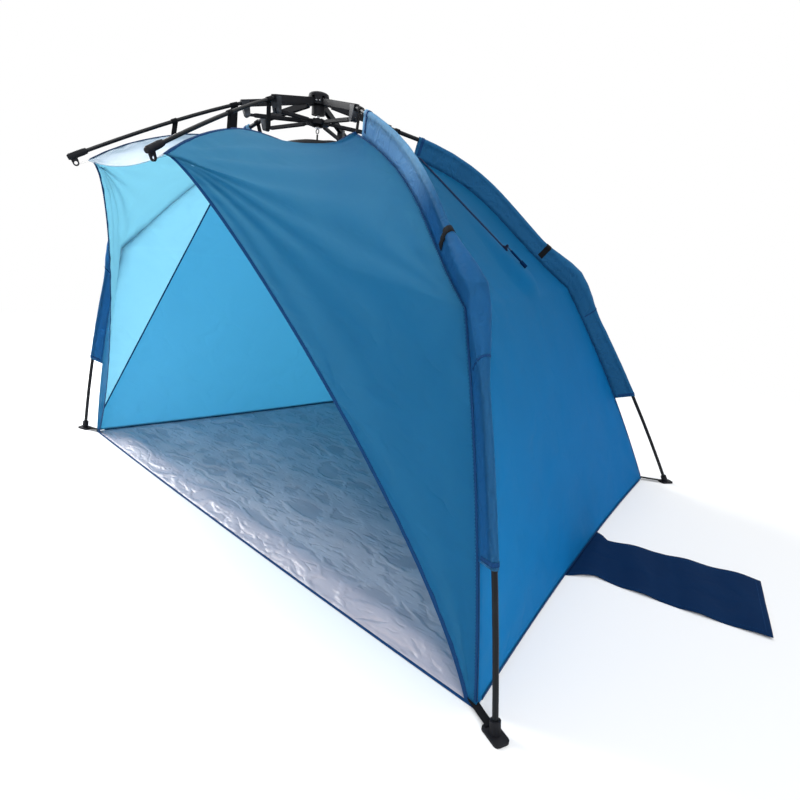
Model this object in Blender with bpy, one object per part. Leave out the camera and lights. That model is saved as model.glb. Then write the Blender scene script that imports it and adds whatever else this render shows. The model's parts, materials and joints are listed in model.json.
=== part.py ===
"""Beach tent with an umbrella-like hub that opens six poles at once.

Frame: origin on the ground under the hub, +Z up, the open front towards -Y and
the right side towards +X. Metres. The tent stands opened.

Every rib hangs from the upper hub on a pin. Its local frame has X away from the
hub, Y along the pin and Z up, so a positive turn about Y folds the rib down.
"""
import math

import bmesh
import bpy
from mathutils import Matrix, Vector

# Clearances
GAP = 0.0003
SEAM_GAP = 0.00045
OVERRUN = 0.006
JOINT_PLAY = 0.0004
MERGE_DISTANCE = 0.00001

# Layout of the six ribs, as turns from the front
AWNING_AZIMUTH = math.radians(20.2)
FRONT_AZIMUTH = math.radians(78.0)
REAR_AZIMUTH = math.radians(150.0)

# Feet of the near pole of each pair, on the ground
FRONT_FOOT_X = 1.100
FRONT_FOOT_Y = -0.371
REAR_FOOT_X = 0.876
REAR_FOOT_Y = 1.336

# Upper hub
HUB_TOP_Z = 1.345
PIVOT_Z = 1.315
PIVOT_RADIUS = 0.026
HEAD_RADIUS = 0.032
HEAD_BELOW_PIVOT = 0.008
HEAD_ABOVE_PIVOT = 0.0145
SKIRT_RADIUS = 0.0205
SKIRT_DEPTH = 0.036
CAP_RADIUS = 0.031
CAP_RIM = 0.005
ARM_SLOT_WIDTH = 0.0088
ARM_SLOT_FLOOR_RADIUS = 0.0183
HUB_WIRE_RADIUS = 0.002
HUB_WIRE_STRAIGHT = 0.0135

# Arms: channels open below, with a tongue in the hub and a socket for the pole
ARM_LENGTH = 0.213
ARM_DROP = math.radians(11.5)
ARM_WIDTH = 0.014
ARM_HEIGHT = 0.018
ARM_WALL = 0.0014
ARM_CHANNEL_START = 0.016
TONGUE_WIDTH = 0.008
TONGUE_RADIUS = 0.0065
TONGUE_REACH = 0.034
SOCKET_LENGTH = 0.030
SOCKET_DEPTH = 0.022

# Brackets under the arm ends, which carry the struts
STRUT_PIVOT_BACK = 0.012
STRUT_PIVOT_DROP = 0.030
BRACKET_WALL = 0.0025
BRACKET_HALF_LENGTH = 0.012
BRACKET_RISE = 0.006
BRACKET_EAR_RADIUS = 0.008
STRUT_PIN_RADIUS = 0.002

# Struts from the brackets to the lower hub
STRUT_EYE_RADIUS = 0.004
STRUT_TONGUE_WIDTH = 0.004
STRUT_SLOT_WIDTH = 0.0048
STRUT_BAR_WIDTH = 0.009
STRUT_BAR_HEIGHT = 0.012
STRUT_TONGUE_LENGTH = 0.020
STRUT_END_SHARE = 0.8
STRUT_SEAT_RADIUS = 0.032
STRUT_SEAT_Z = 1.2575

# Lower hub, its shaft and pull ring
LOWER_HUB_BARREL_RADIUS = 0.017
LOWER_HUB_HEIGHT = 0.024
LOWER_HUB_EAR_RADIUS = 0.0355
LOWER_HUB_EAR_HEIGHT = 0.013
LOWER_HUB_CORE_RADIUS = 0.0095
SHAFT_RADIUS = 0.005
SHAFT_HEAD_RADIUS = 0.0085
SHAFT_HEAD_HEIGHT = 0.003
SHAFT_ENTRY = 0.018
RING_RADIUS = 0.0085
RING_WIRE_RADIUS = 0.0014

# Poles
LEG_POLE_RADIUS = 0.0065
AWNING_POLE_RADIUS = 0.0050
FRONT_KNEE_REACH = 0.680
FRONT_KNEE_Z = 0.850
REAR_KNEE_REACH = 0.752
REAR_KNEE_Z = 0.853
FRONT_START_DROP = math.radians(20.0)
FRONT_START_PULL = 0.400
FRONT_END_DROP = math.radians(34.0)
FRONT_END_PULL = 0.250
REAR_START_DROP = math.radians(9.6)
REAR_START_PULL = 0.402
REAR_END_DROP = math.radians(32.9)
REAR_END_PULL = 0.405
FRONT_LOWER_BOW = 0.022
REAR_LOWER_BOW = 0.020
AWNING_TIP_REACH = 0.684
AWNING_TIP_Z = 1.064
AWNING_START_DROP = math.radians(20.6)
AWNING_START_PULL = 0.193

# Elbows between the upper and lower leg poles
ELBOW_OFFSET = 0.012
ELBOW_EAR_RADIUS = 0.009
ELBOW_HALF_WIDTH = 0.0095
ELBOW_HALF_HEIGHT = 0.0095
ELBOW_LENGTH = 0.046
ELBOW_SETBACK = 0.016
ELBOW_SOCKET_DEPTH = 0.026
ELBOW_SLOT_WIDTH = 0.0050
ELBOW_TONGUE_WIDTH = 0.0042
ELBOW_TONGUE_RADIUS = 0.0078
ELBOW_PIN_RADIUS = 0.0024
FERRULE_RADIUS = 0.0090
FERRULE_LENGTH = 0.030

# Shoes at the feet
SHOE_CUP_RADIUS = 0.0115
SHOE_CUP_LENGTH = 0.034
SHOE_BASE_LENGTH = 0.056
SHOE_BASE_WIDTH = 0.036
SHOE_BASE_THICKNESS = 0.006
SHOE_FLOOR = 0.004
SHOE_SLOT_LENGTH = 0.022
SHOE_SLOT_WIDTH = 0.005

# End caps of the awning poles
TIP_RADIUS = 0.0085
TIP_LENGTH = 0.052
TIP_SEAT_DEPTH = 0.040
TIP_LUG_LENGTH = 0.024
TIP_LUG_DROP = 0.018
TIP_LUG_WIDTH = 0.005
TIP_LUG_HOLE_RADIUS = 0.0045
TIP_LUG_RADIUS = 0.0081
TIP_NOSE_LENGTH = 0.0052
TIP_MOUTH_LENGTH = 0.0104
TIP_MOUTH_SHARE = 0.85
TIP_NOSE_SHARE = 0.7
TIP_LUG_SETBACK = 0.0048
TIP_LUG_ARC = (math.radians(170.0), math.radians(10.0))

# Canopy
CLOTH_THICKNESS = 0.0006
CROWN_Z = 1.211
CROWN_RADIUS = 0.020
ARM_SEAM_DROP = 0.062
KNEE_SEAM_DROP = 0.050
ROOF_CORNER_REACH = 0.632
ROOF_CORNER_Z = 1.066
ROOF_CREST_REACH = 0.250
ROOF_CREST_Z = 1.190
ROOF_SHOULDER_REACH = 0.460
ROOF_SHOULDER_Z = 1.182
ROOF_SAG = 0.018
WING_SAG = 0.014
SIDE_SAG = 0.018
REAR_SAG = 0.020
FRONT_CORNER_X = 1.035
FRONT_CORNER_Y = -0.345
REAR_CORNER_X = 0.790
REAR_CORNER_Y = 1.275
HEM_START_PULL_X = 0.015
HEM_START_PULL_Y = 0.072
HEM_START_PULL_Z = 0.012
HEM_END_PULL_X = 0.163
HEM_END_PULL_Y = 0.020
HEM_END_PULL_Z = 0.328
HEM_FOOT_WIDTH = 0.030
FLOOR_THICKNESS = 0.002

# Sleeves round the leg poles
SLEEVE_WALL = 0.0010
SLEEVE_PLAY = 0.0050
SLEEVE_ELBOW_RADIUS = 0.0215
SLEEVE_ELBOW_SHIFT = 0.0060
SLEEVE_ELBOW_HALF_LENGTH = 0.066
SLEEVE_TAPER = 1.4
SLEEVE_LOOP_START = math.radians(50.0)
SLEEVE_LOOP_TURN = math.radians(260.0)

# Ground flap on the right
FLAP_LENGTH = 0.520
FLAP_WIDTH = 0.310
FLAP_START_SHARE = 0.385
FLAP_END_SHARE = 0.600
FLAP_TURN = math.radians(7.0)
FLAP_THICKNESS = 0.0015
FLAP_ROOT_GAP = 0.0018
FLAP_STATIONS = ((0.0, 1.0), (0.12, 0.84), (0.26, 0.92), (0.60, 1.0), (1.0, 1.02))

# Zip on the right side
ZIP_TOP_ROW = 2.9
ZIP_TOP_SHARE = 0.60
ZIP_END_ROW = 6.0
ZIP_END_SHARE = 0.58
ZIP_WIDTH = 0.007
ZIP_THICKNESS = 0.0018
ZIP_LIFT = 0.0018
SLIDER_LENGTH = 0.016
SLIDER_WIDTH = 0.011
SLIDER_THICKNESS = 0.005
SLIDER_LUG_HEIGHT = 0.005
SLIDER_PIN_RADIUS = 0.0011
PULL_LENGTH = 0.085
PULL_WIDTH = 0.007
PULL_THICKNESS = 0.0016
PULL_EYE_RADIUS = 0.0034

# Webbing
WEBBING_WIDTH = 0.022
WEBBING_THICKNESS = 0.0012
CROWN_PATCH_RADIUS = 0.030
BAND_INSET = 0.0024
TIP_BAND_INSET = 0.0072
TIP_BAND_BACK = 0.030
TIP_BAND_DROP = 0.0216

# Shading
SMOOTH_ANGLE = math.radians(40.0)
CLOTH_SMOOTH_ANGLE = math.radians(60.0)

# Counts
ARM_ROWS = 2
UPPER_ROWS = 5
LOWER_ROWS = 6
ROOF_ROWS = 5
PANEL_COLUMNS = 6
FLAP_COLUMNS = 4
ZIP_SAMPLES = 20
ARC_POINTS = 7
CORNER_POINTS = 4
SLEEVE_SIDES = 12
SEARCH_STEPS = 30
POLE_SIDES = 10
POLE_RINGS = 9
LATHE_SIDES = 30
SMALL_SIDES = 10

SIDES = (("left", -1.0), ("right", 1.0))
LEG_KINDS = ("front", "rear")
UP = Vector((0.0, 0.0, 1.0))
AZIMUTHS = {"awning": AWNING_AZIMUTH, "front": FRONT_AZIMUTH, "rear": REAR_AZIMUTH}
FEET = {"front": (FRONT_FOOT_X, FRONT_FOOT_Y), "rear": (REAR_FOOT_X, REAR_FOOT_Y)}
CORNERS = {"front": (FRONT_CORNER_X, FRONT_CORNER_Y), "rear": (REAR_CORNER_X, REAR_CORNER_Y)}
KNEES = {"front": (FRONT_KNEE_REACH, FRONT_KNEE_Z), "rear": (REAR_KNEE_REACH, REAR_KNEE_Z)}
BENDS = {
    "front": (FRONT_START_DROP, FRONT_START_PULL, FRONT_END_DROP, FRONT_END_PULL),
    "rear": (REAR_START_DROP, REAR_START_PULL, REAR_END_DROP, REAR_END_PULL),
}
BOWS = {"front": FRONT_LOWER_BOW, "rear": REAR_LOWER_BOW}
CORNER_Z = FLOOR_THICKNESS + GAP + CLOTH_THICKNESS
PANEL_HEART_Y = (FRONT_CORNER_Y + REAR_CORNER_Y) / 2.0
SLEEVE_ROWS = {
    "front": (2.25, 3.0, 4.0, 5.0, 6.0, 8.0, 9.0, 10.0, 10.7),
    "rear": (2.45, 3.0, 4.0, 5.0, 6.0, 8.0, 9.0, 10.0, 10.3),
}
KNEE_ROW = ARM_ROWS + UPPER_ROWS
ROW_STEP = 0.05
LAST_ROW = KNEE_ROW + LOWER_ROWS


def clear_scene():
    """Remove every object that the file opened with."""
    for item in list(bpy.data.objects):
        bpy.data.objects.remove(item, do_unlink=True)


def make_material(name, colour, roughness, metallic=0.0):
    """Return a Principled material."""
    material = bpy.data.materials.new(name)
    material.use_nodes = True
    shader = material.node_tree.nodes["Principled BSDF"]
    shader.inputs["Base Color"].default_value = (*colour, 1.0)
    shader.inputs["Roughness"].default_value = roughness
    shader.inputs["Metallic"].default_value = metallic
    return material


def place(name, mesh, material, parent=None, matrix=None):
    """Make an object from a mesh, under a parent."""
    mesh = mesh if not mesh.materials else mesh.copy()
    mesh.materials.append(material)
    item = bpy.data.objects.new(name, mesh)
    bpy.context.collection.objects.link(item)
    item.parent = parent
    if matrix is not None:
        item.matrix_local = matrix
    return item


def make_empty(name, matrix, parent=None):
    """Make an empty that stands on a joint's axis."""
    item = bpy.data.objects.new(name, None)
    bpy.context.collection.objects.link(item)
    item.parent = parent
    item.matrix_local = matrix
    return item


def finish_mesh(name, work, smooth_angle=SMOOTH_ANGLE):
    """Turn a bmesh into a mesh with its faces pointing out."""
    bmesh.ops.recalc_face_normals(work, faces=work.faces)
    mesh = bpy.data.meshes.new(name)
    work.to_mesh(mesh)
    work.free()
    mesh.shade_smooth()
    mesh.set_sharp_from_angle(angle=smooth_angle)
    return mesh


def loft(name, rings, capped=True):
    """Skin rings of the same number of points, with flat ends or closed on itself."""
    work = bmesh.new()
    loops = [[work.verts.new(point) for point in ring] for ring in rings]
    count = len(loops[0])
    pairs = list(zip(loops, loops[1:]))
    if not capped:
        pairs.append((loops[-1], loops[0]))
    for first, second in pairs:
        for index in range(count):
            after = (index + 1) % count
            work.faces.new((first[index], first[after], second[after], second[index]))
    if capped:
        work.faces.new(loops[0])
        work.faces.new(list(reversed(loops[-1])))
    return finish_mesh(name, work)


def prism(name, outline, half_width):
    """Extrude an outline of (x, z) points to both sides along Y."""
    rings = [[Vector((x, offset, z)) for x, z in outline] for offset in (-half_width, half_width)]
    return loft(name, rings)


def box(name, low, high):
    """Make a box from two corners."""
    outline = [(low[0], low[2]), (high[0], low[2]), (high[0], high[2]), (low[0], high[2])]
    rings = [[Vector((x, y, z)) for x, z in outline] for y in (low[1], high[1])]
    return loft(name, rings)


def lathe(name, profile, sides):
    """Turn (radius, z) points about Z; a profile may start or end on the axis."""
    work = bmesh.new()
    loops = []
    for radius, z in profile:
        if radius == 0.0:
            loops.append([work.verts.new((0.0, 0.0, z))])
            continue
        ring = []
        for index in range(sides):
            angle = math.tau * index / sides
            ring.append(work.verts.new((radius * math.cos(angle), radius * math.sin(angle), z)))
        loops.append(ring)
    pairs = list(zip(loops, loops[1:]))
    if profile[0][0] > 0.0 and profile[-1][0] > 0.0:
        pairs.append((loops[-1], loops[0]))
    for first, second in pairs:
        for index in range(sides):
            after = (index + 1) % sides
            corners = [first[index % len(first)], first[after % len(first)],
                       second[after % len(second)], second[index % len(second)]]
            work.faces.new(list(dict.fromkeys(corners)))
    return finish_mesh(name, work)


def rod(name, start, end, radius, sides=SMALL_SIDES):
    """Make a straight round bar between two points."""
    start, end = Vector(start), Vector(end)
    along = (end - start).normalized()
    side = along.orthogonal().normalized()
    rings = [ring_points(centre, along, side, radius, sides) for centre in (start, end)]
    return loft(name, rings)


def ring_points(centre, along, side, radius, count):
    """Return a circle of points square to a direction."""
    across = side.cross(along).normalized()
    flat = along.cross(across).normalized()
    points = []
    for index in range(count):
        angle = math.tau * index / count
        points.append(centre + flat * (radius * math.cos(angle)) + across * (radius * math.sin(angle)))
    return points


def carve(name, base, unions=(), cuts=()):
    """Join meshes to a base mesh and cut others out of it."""
    body = bpy.data.objects.new(name, base)
    bpy.context.collection.objects.link(body)
    tools = []
    for operation, meshes in (("UNION", unions), ("DIFFERENCE", cuts)):
        for mesh in meshes:
            tool = bpy.data.objects.new(mesh.name, mesh)
            bpy.context.collection.objects.link(tool)
            modifier = body.modifiers.new(mesh.name, "BOOLEAN")
            modifier.operation = operation
            modifier.object = tool
            tools.append(tool)
    graph = bpy.context.evaluated_depsgraph_get()
    mesh = bpy.data.meshes.new_from_object(body.evaluated_get(graph))
    mesh.name = name
    for item in [body] + tools:
        bpy.data.objects.remove(item, do_unlink=True)
    work = bmesh.new()
    work.from_mesh(mesh)
    bmesh.ops.remove_doubles(work, verts=work.verts, dist=MERGE_DISTANCE)
    bmesh.ops.dissolve_degenerate(work, edges=work.edges, dist=MERGE_DISTANCE)
    bpy.data.meshes.remove(mesh)
    return finish_mesh(name, work)


def turned(mesh, matrix):
    """Move a mesh's points by a matrix."""
    mesh.transform(matrix)
    return mesh


def arc(centre, radius, start, end, count):
    """Return (x, z) points along an arc, with angles from +X towards +Z."""
    points = []
    for index in range(count):
        angle = start + (end - start) * index / (count - 1)
        points.append((centre[0] + radius * math.cos(angle), centre[1] + radius * math.sin(angle)))
    return points


def radial(azimuth):
    """Return the level direction at a turn from the front."""
    return Vector((math.sin(azimuth), -math.cos(azimuth), 0.0))


def tangential(azimuth):
    """Return the level direction square to a rib, on its anticlockwise side."""
    return Vector((math.cos(azimuth), math.sin(azimuth), 0.0))


def dropped(level, drop):
    """Tip a level direction down by an angle."""
    return level * math.cos(drop) - UP * math.sin(drop)


def rib_matrix(azimuth):
    """Return the frame of a rib at its hub pin."""
    out, along = radial(azimuth), tangential(azimuth)
    origin = out * PIVOT_RADIUS + UP * PIVOT_Z
    return Matrix.Translation(origin) @ Matrix((out, along, UP)).transposed().to_4x4()


def plane_matrix(origin, azimuth):
    """Return a frame in a rib's or a leg's upright plane."""
    basis = Matrix((radial(azimuth), tangential(azimuth), UP)).transposed().to_4x4()
    return Matrix.Translation(origin) @ basis


def bezier(points, share):
    """Return a point on a Bezier curve of any degree."""
    points = list(points)
    while len(points) > 1:
        points = [first.lerp(second, share) for first, second in zip(points, points[1:])]
    return points[0]


class Leg:
    """The line of one leg: arm end, knee and foot, in world places."""

    def __init__(self, kind, sign):
        self.kind = kind
        self.sign = sign
        self.azimuth = sign * AZIMUTHS[kind]
        self.arm_end = rib_matrix(self.azimuth) @ (dropped(Vector((1.0, 0.0, 0.0)), ARM_DROP) * ARM_LENGTH)
        foot_x, foot_y = FEET[kind]
        self.foot = Vector((sign * foot_x, foot_y, 0.0))
        level = self.foot - self.arm_end
        level.z = 0.0
        self.plane_azimuth = math.atan2(level.x, -level.y)
        self.out = radial(self.plane_azimuth)
        self.side = tangential(self.plane_azimuth)
        reach, knee_z = KNEES[kind]
        self.knee = self.arm_end + self.out * reach
        self.knee.z = knee_z
        start_drop, start_pull, self.end_drop, end_pull = BENDS[kind]
        self.controls = (
            self.arm_end,
            self.arm_end + dropped(radial(self.azimuth), start_drop) * start_pull,
            self.knee - dropped(self.out, self.end_drop) * end_pull,
            self.knee,
        )
        chord = self.foot - self.knee
        self.lower_normal = chord.cross(self.side).normalized()
        if self.lower_normal.dot(self.out) < 0.0:
            self.lower_normal.negate()
        self.lower_controls = (
            self.knee,
            self.knee.lerp(self.foot, 0.5) + self.lower_normal * (2.0 * BOWS[kind]),
            self.foot,
        )
        self.upper_end = dropped(self.out, self.end_drop)
        self.lower_start = (self.lower_controls[1] - self.knee).normalized()
        self.lower_end = (self.foot - self.lower_controls[1]).normalized()
        upper_normal = self.out * math.sin(self.end_drop) + UP * math.cos(self.end_drop)
        start_normal = self.lower_normal
        self.hinge = self.knee + (upper_normal + start_normal).normalized() * ELBOW_OFFSET
        self.upper_normal = upper_normal

    def pole(self, row):
        """Return the pole's centre at a cloth row, from the arm end on."""
        if row <= ARM_ROWS:
            start = rib_matrix(self.azimuth).translation
            return start.lerp(self.arm_end, row / ARM_ROWS)
        if row <= KNEE_ROW:
            return bezier(self.controls, (row - ARM_ROWS) / UPPER_ROWS)
        return bezier(self.lower_controls, (row - KNEE_ROW) / LOWER_ROWS)

    def inward(self, row):
        """Return the direction from the pole to the inside of the tent."""
        ahead = self.pole(min(row + ROW_STEP, LAST_ROW))
        behind = self.pole(max(row - ROW_STEP, ARM_ROWS))
        along = (ahead - behind).normalized()
        normal = along.cross(self.side).normalized()
        return -normal if normal.z > 0.0 else normal

    def seam_at_row(self, row):
        """Return the seam's place at a whole row."""
        corner_x, corner_y = CORNERS[self.kind]
        corner = Vector((self.sign * corner_x, corner_y, CORNER_Z))
        crown = radial(self.azimuth) * CROWN_RADIUS + UP * CROWN_Z
        arm_seam = self.arm_end - UP * ARM_SEAM_DROP
        if row <= ARM_ROWS:
            return crown.lerp(arm_seam, row / ARM_ROWS)
        knee_seam = self.knee + self.inward(KNEE_ROW - ROW_STEP * 2.0) * KNEE_SEAM_DROP
        if row < KNEE_ROW:
            share = (row - ARM_ROWS) / UPPER_ROWS
            drop = ARM_SEAM_DROP + (KNEE_SEAM_DROP - ARM_SEAM_DROP) * share
            return self.pole(row) + self.inward(row) * drop
        share = (row - KNEE_ROW) / LOWER_ROWS
        bow = 4.0 * share * (1.0 - share) * BOWS[self.kind]
        return knee_seam.lerp(corner, share) + self.lower_normal * bow

    def seam(self, row):
        """Return the seam's place at any row, along its straight stitches."""
        low = min(int(row), LAST_ROW - 1)
        return self.seam_at_row(low).lerp(self.seam_at_row(low + 1), row - low)


LEGS = {(kind, label): Leg(kind, sign) for kind in LEG_KINDS for label, sign in SIDES}


def roof_seam(sign, row):
    """Return the awning seam, from the crown out to the roof's corner."""
    out = radial(sign * AWNING_AZIMUTH)
    places = ((CROWN_RADIUS, CROWN_Z), (ROOF_CREST_REACH, ROOF_CREST_Z),
              (ROOF_SHOULDER_REACH, ROOF_SHOULDER_Z), (ROOF_CORNER_REACH, ROOF_CORNER_Z))
    controls = [out * reach + UP * z for reach, z in places]
    return bezier(controls, row / ROOF_ROWS)


def hem(sign, share):
    """Return the wing's free front edge, from the roof's corner to the ground."""
    start = roof_seam(sign, ROOF_ROWS)
    end = Vector((sign * (FRONT_CORNER_X - HEM_FOOT_WIDTH), FRONT_CORNER_Y, CORNER_Z))
    start_pull = Vector((sign * HEM_START_PULL_X, HEM_START_PULL_Y, -HEM_START_PULL_Z))
    end_pull = Vector((-sign * HEM_END_PULL_X, HEM_END_PULL_Y, HEM_END_PULL_Z))
    return bezier((start, start + start_pull, end + end_pull, end), share)


def wing_edge(sign, row):
    """Return the wing's front boundary: the awning seam, then the hem."""
    if row <= ROOF_ROWS:
        return roof_seam(sign, row)
    return hem(sign, (row - ROOF_ROWS) / (LAST_ROW - ROOF_ROWS))


def panel_row(first, second, sag, share_down):
    """Return one row of cloth between two seams, drawn in between them."""
    span = second - first
    inset = span.normalized() * SEAM_GAP
    start, end = first + inset, second - inset
    middle = (start + end) / 2.0
    inward = Vector((-middle.x, PANEL_HEART_Y - middle.y, 0.0))
    inward = (inward.normalized() * share_down - UP * (1.0 - share_down)).normalized()
    points = []
    for column in range(PANEL_COLUMNS + 1):
        share = column / PANEL_COLUMNS
        draw = 4.0 * share * (1.0 - share) * sag
        points.append(start.lerp(end, share) + inward * draw)
    return points


def row_normals(rows):
    """Return the normals of a grid of points."""
    last_row, last_column = len(rows) - 1, len(rows[0]) - 1
    normals = []
    for i in range(last_row + 1):
        line = []
        for j in range(last_column + 1):
            down = rows[min(i + 1, last_row)][j] - rows[max(i - 1, 0)][j]
            over = rows[i][min(j + 1, last_column)] - rows[i][max(j - 1, 0)]
            line.append(down.cross(over).normalized())
        normals.append(line)
    return normals


def cloth(name, rows, thickness=CLOTH_THICKNESS):
    """Make a closed sheet of even thickness from rows of points."""
    normals = row_normals(rows)
    work = bmesh.new()
    layers = []
    for offset in (-thickness / 2.0, thickness / 2.0):
        layers.append([[work.verts.new(point + normal * offset) for point, normal in zip(line, bent)]
                       for line, bent in zip(rows, normals)])
    back, face = layers
    last_row, last_column = len(rows) - 1, len(rows[0]) - 1
    for layer in (back, face):
        for i in range(last_row):
            for j in range(last_column):
                work.faces.new((layer[i][j], layer[i + 1][j], layer[i + 1][j + 1], layer[i][j + 1]))
    for i in range(last_row):
        for j in (0, last_column):
            work.faces.new((back[i][j], back[i + 1][j], face[i + 1][j], face[i][j]))
    for j in range(last_column):
        for i in (0, last_row):
            work.faces.new((back[i][j], back[i][j + 1], face[i][j + 1], face[i][j]))
    return finish_mesh(name, work, CLOTH_SMOOTH_ANGLE)


def side_rows(sign):
    """Return the cloth rows of a side wall, from the crown to the ground."""
    label = "right" if sign > 0.0 else "left"
    front, rear = LEGS["front", label], LEGS["rear", label]
    rows = []
    for row in range(LAST_ROW + 1):
        share = row / LAST_ROW
        rows.append(panel_row(front.seam(row), rear.seam(row), SIDE_SAG * share, share))
    return rows


def rear_rows():
    """Return the cloth rows of the rear wall."""
    first, second = LEGS["rear", "left"], LEGS["rear", "right"]
    rows = []
    for row in range(LAST_ROW + 1):
        share = row / LAST_ROW
        rows.append(panel_row(first.seam(row), second.seam(row), REAR_SAG * share, share))
    return rows


def wing_rows(sign):
    """Return the cloth rows of a front wing."""
    label = "right" if sign > 0.0 else "left"
    leg = LEGS["front", label]
    rows = []
    for row in range(LAST_ROW + 1):
        share = row / LAST_ROW
        sag = WING_SAG * math.sin(math.pi * share)
        rows.append(panel_row(wing_edge(sign, row), leg.seam(row), sag, share))
    return rows


def roof_rows():
    """Return the cloth rows of the awning roof."""
    rows = []
    for row in range(ROOF_ROWS + 1):
        share = row / ROOF_ROWS
        rows.append(panel_row(roof_seam(-1.0, row), roof_seam(1.0, row), ROOF_SAG * share, 0.0))
    return rows


def surface_point(rows, row, share):
    """Return a point and a normal on a cloth grid."""
    i = min(int(row), len(rows) - 2)
    column = share * PANEL_COLUMNS
    j = min(int(column), PANEL_COLUMNS - 1)
    near = rows[i][j].lerp(rows[i][j + 1], column - j)
    far = rows[i + 1][j].lerp(rows[i + 1][j + 1], column - j)
    point = near.lerp(far, row - i)
    over = rows[i][j + 1] - rows[i][j]
    return point, (far - near).cross(over).normalized()


def wire_mesh(radius):
    """Make the wire ring, straight where it passes through each arm's tongue."""
    places = []
    for azimuth in sorted(sign * AZIMUTHS[kind] for kind in AZIMUTHS for sign in (-1.0, 1.0)):
        for half in (-HUB_WIRE_STRAIGHT / 2.0, HUB_WIRE_STRAIGHT / 2.0):
            places.append(rib_matrix(azimuth) @ Vector((0.0, half, 0.0)))
    rings = []
    for index, spot in enumerate(places):
        along = (places[(index + 1) % len(places)] - places[index - 1]).normalized()
        rings.append(ring_points(spot, along, UP, radius, SMALL_SIDES))
    return loft("hub_wire", rings, capped=False)


def build_hub(materials):
    """Make the upper hub: body, cap and the wire that the arms turn on."""
    top = PIVOT_Z + HEAD_ABOVE_PIVOT
    head_floor = PIVOT_Z - HEAD_BELOW_PIVOT
    skirt_floor = PIVOT_Z - SKIRT_DEPTH
    bore = SHAFT_RADIUS + JOINT_PLAY
    bore_top = skirt_floor + SHAFT_ENTRY + JOINT_PLAY
    profile = ((0.0, top), (HEAD_RADIUS, top), (HEAD_RADIUS, head_floor),
               (SKIRT_RADIUS, head_floor - CAP_RIM / 2.0), (SKIRT_RADIUS, skirt_floor),
               (bore, skirt_floor), (bore, bore_top), (0.0, bore_top))
    body = lathe("hub_body", profile, LATHE_SIDES)
    cuts = [wire_mesh(HUB_WIRE_RADIUS + GAP)]
    slot_low, slot_high = head_floor - CAP_RIM, top + OVERRUN
    for kind in ("awning", "front", "rear"):
        for label, sign in SIDES:
            frame = rib_matrix(sign * AZIMUTHS[kind])
            slot = box("slot", (ARM_SLOT_FLOOR_RADIUS - PIVOT_RADIUS, -ARM_SLOT_WIDTH / 2.0, slot_low - PIVOT_Z),
                       (HEAD_RADIUS - PIVOT_RADIUS + OVERRUN, ARM_SLOT_WIDTH / 2.0, slot_high - PIVOT_Z))
            cuts.append(turned(slot, frame))
    place("hub_body", carve("hub_body", body, cuts=cuts), materials["frame_black"])
    place("hub_wire", wire_mesh(HUB_WIRE_RADIUS), materials["steel"])
    rim = top + GAP
    rise = HUB_TOP_Z - rim - CAP_RIM
    cap_profile = [(0.0, rim), (CAP_RADIUS, rim), (CAP_RADIUS, rim + CAP_RIM)]
    for index in range(1, 5):
        angle = math.pi / 2.0 * index / 5
        cap_profile.append((CAP_RADIUS * math.cos(angle), rim + CAP_RIM + rise * math.sin(angle)))
    cap_profile.append((0.0, HUB_TOP_Z))
    place("hub_cap", lathe("hub_cap", cap_profile, LATHE_SIDES), materials["frame_black"])


def arm_mesh():
    """Make one arm: tongue, channel and pole socket, along +X."""
    start, end = ARM_CHANNEL_START, ARM_LENGTH
    half_width, half_height = ARM_WIDTH / 2.0, ARM_HEIGHT / 2.0
    block = box("arm", (start, -half_width, -half_height), (end, half_width, half_height))
    hollow = box("hollow", (start - OVERRUN, -half_width + ARM_WALL, -half_height - OVERRUN),
                 (end - SOCKET_LENGTH, half_width - ARM_WALL, half_height - ARM_WALL))
    channel = carve("channel", block, cuts=(hollow,))
    outline = arc((0.0, 0.0), TONGUE_RADIUS, math.pi / 2.0, 3.0 * math.pi / 2.0, 9)
    outline += [(TONGUE_REACH, -TONGUE_RADIUS), (TONGUE_REACH, TONGUE_RADIUS)]
    tongue = prism("tongue", outline, TONGUE_WIDTH / 2.0)
    web = box("web", (start, -half_width + ARM_WALL / 2.0, TONGUE_RADIUS - ARM_WALL),
              (TONGUE_REACH, half_width - ARM_WALL / 2.0, half_height - ARM_WALL / 2.0))
    pin_hole = rod("pin_hole", (0.0, -half_width, 0.0), (0.0, half_width, 0.0), HUB_WIRE_RADIUS + GAP)
    joined = carve("arm", channel, unions=(web, tongue))
    return carve("arm", joined, cuts=(pin_hole,))


def socket_cut(radius):
    """Make the bore for a pole in the end of an arm."""
    return rod("socket", (ARM_LENGTH - SOCKET_DEPTH, 0.0, 0.0), (ARM_LENGTH + OVERRUN, 0.0, 0.0),
               radius + GAP, POLE_SIDES * 2)


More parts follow.
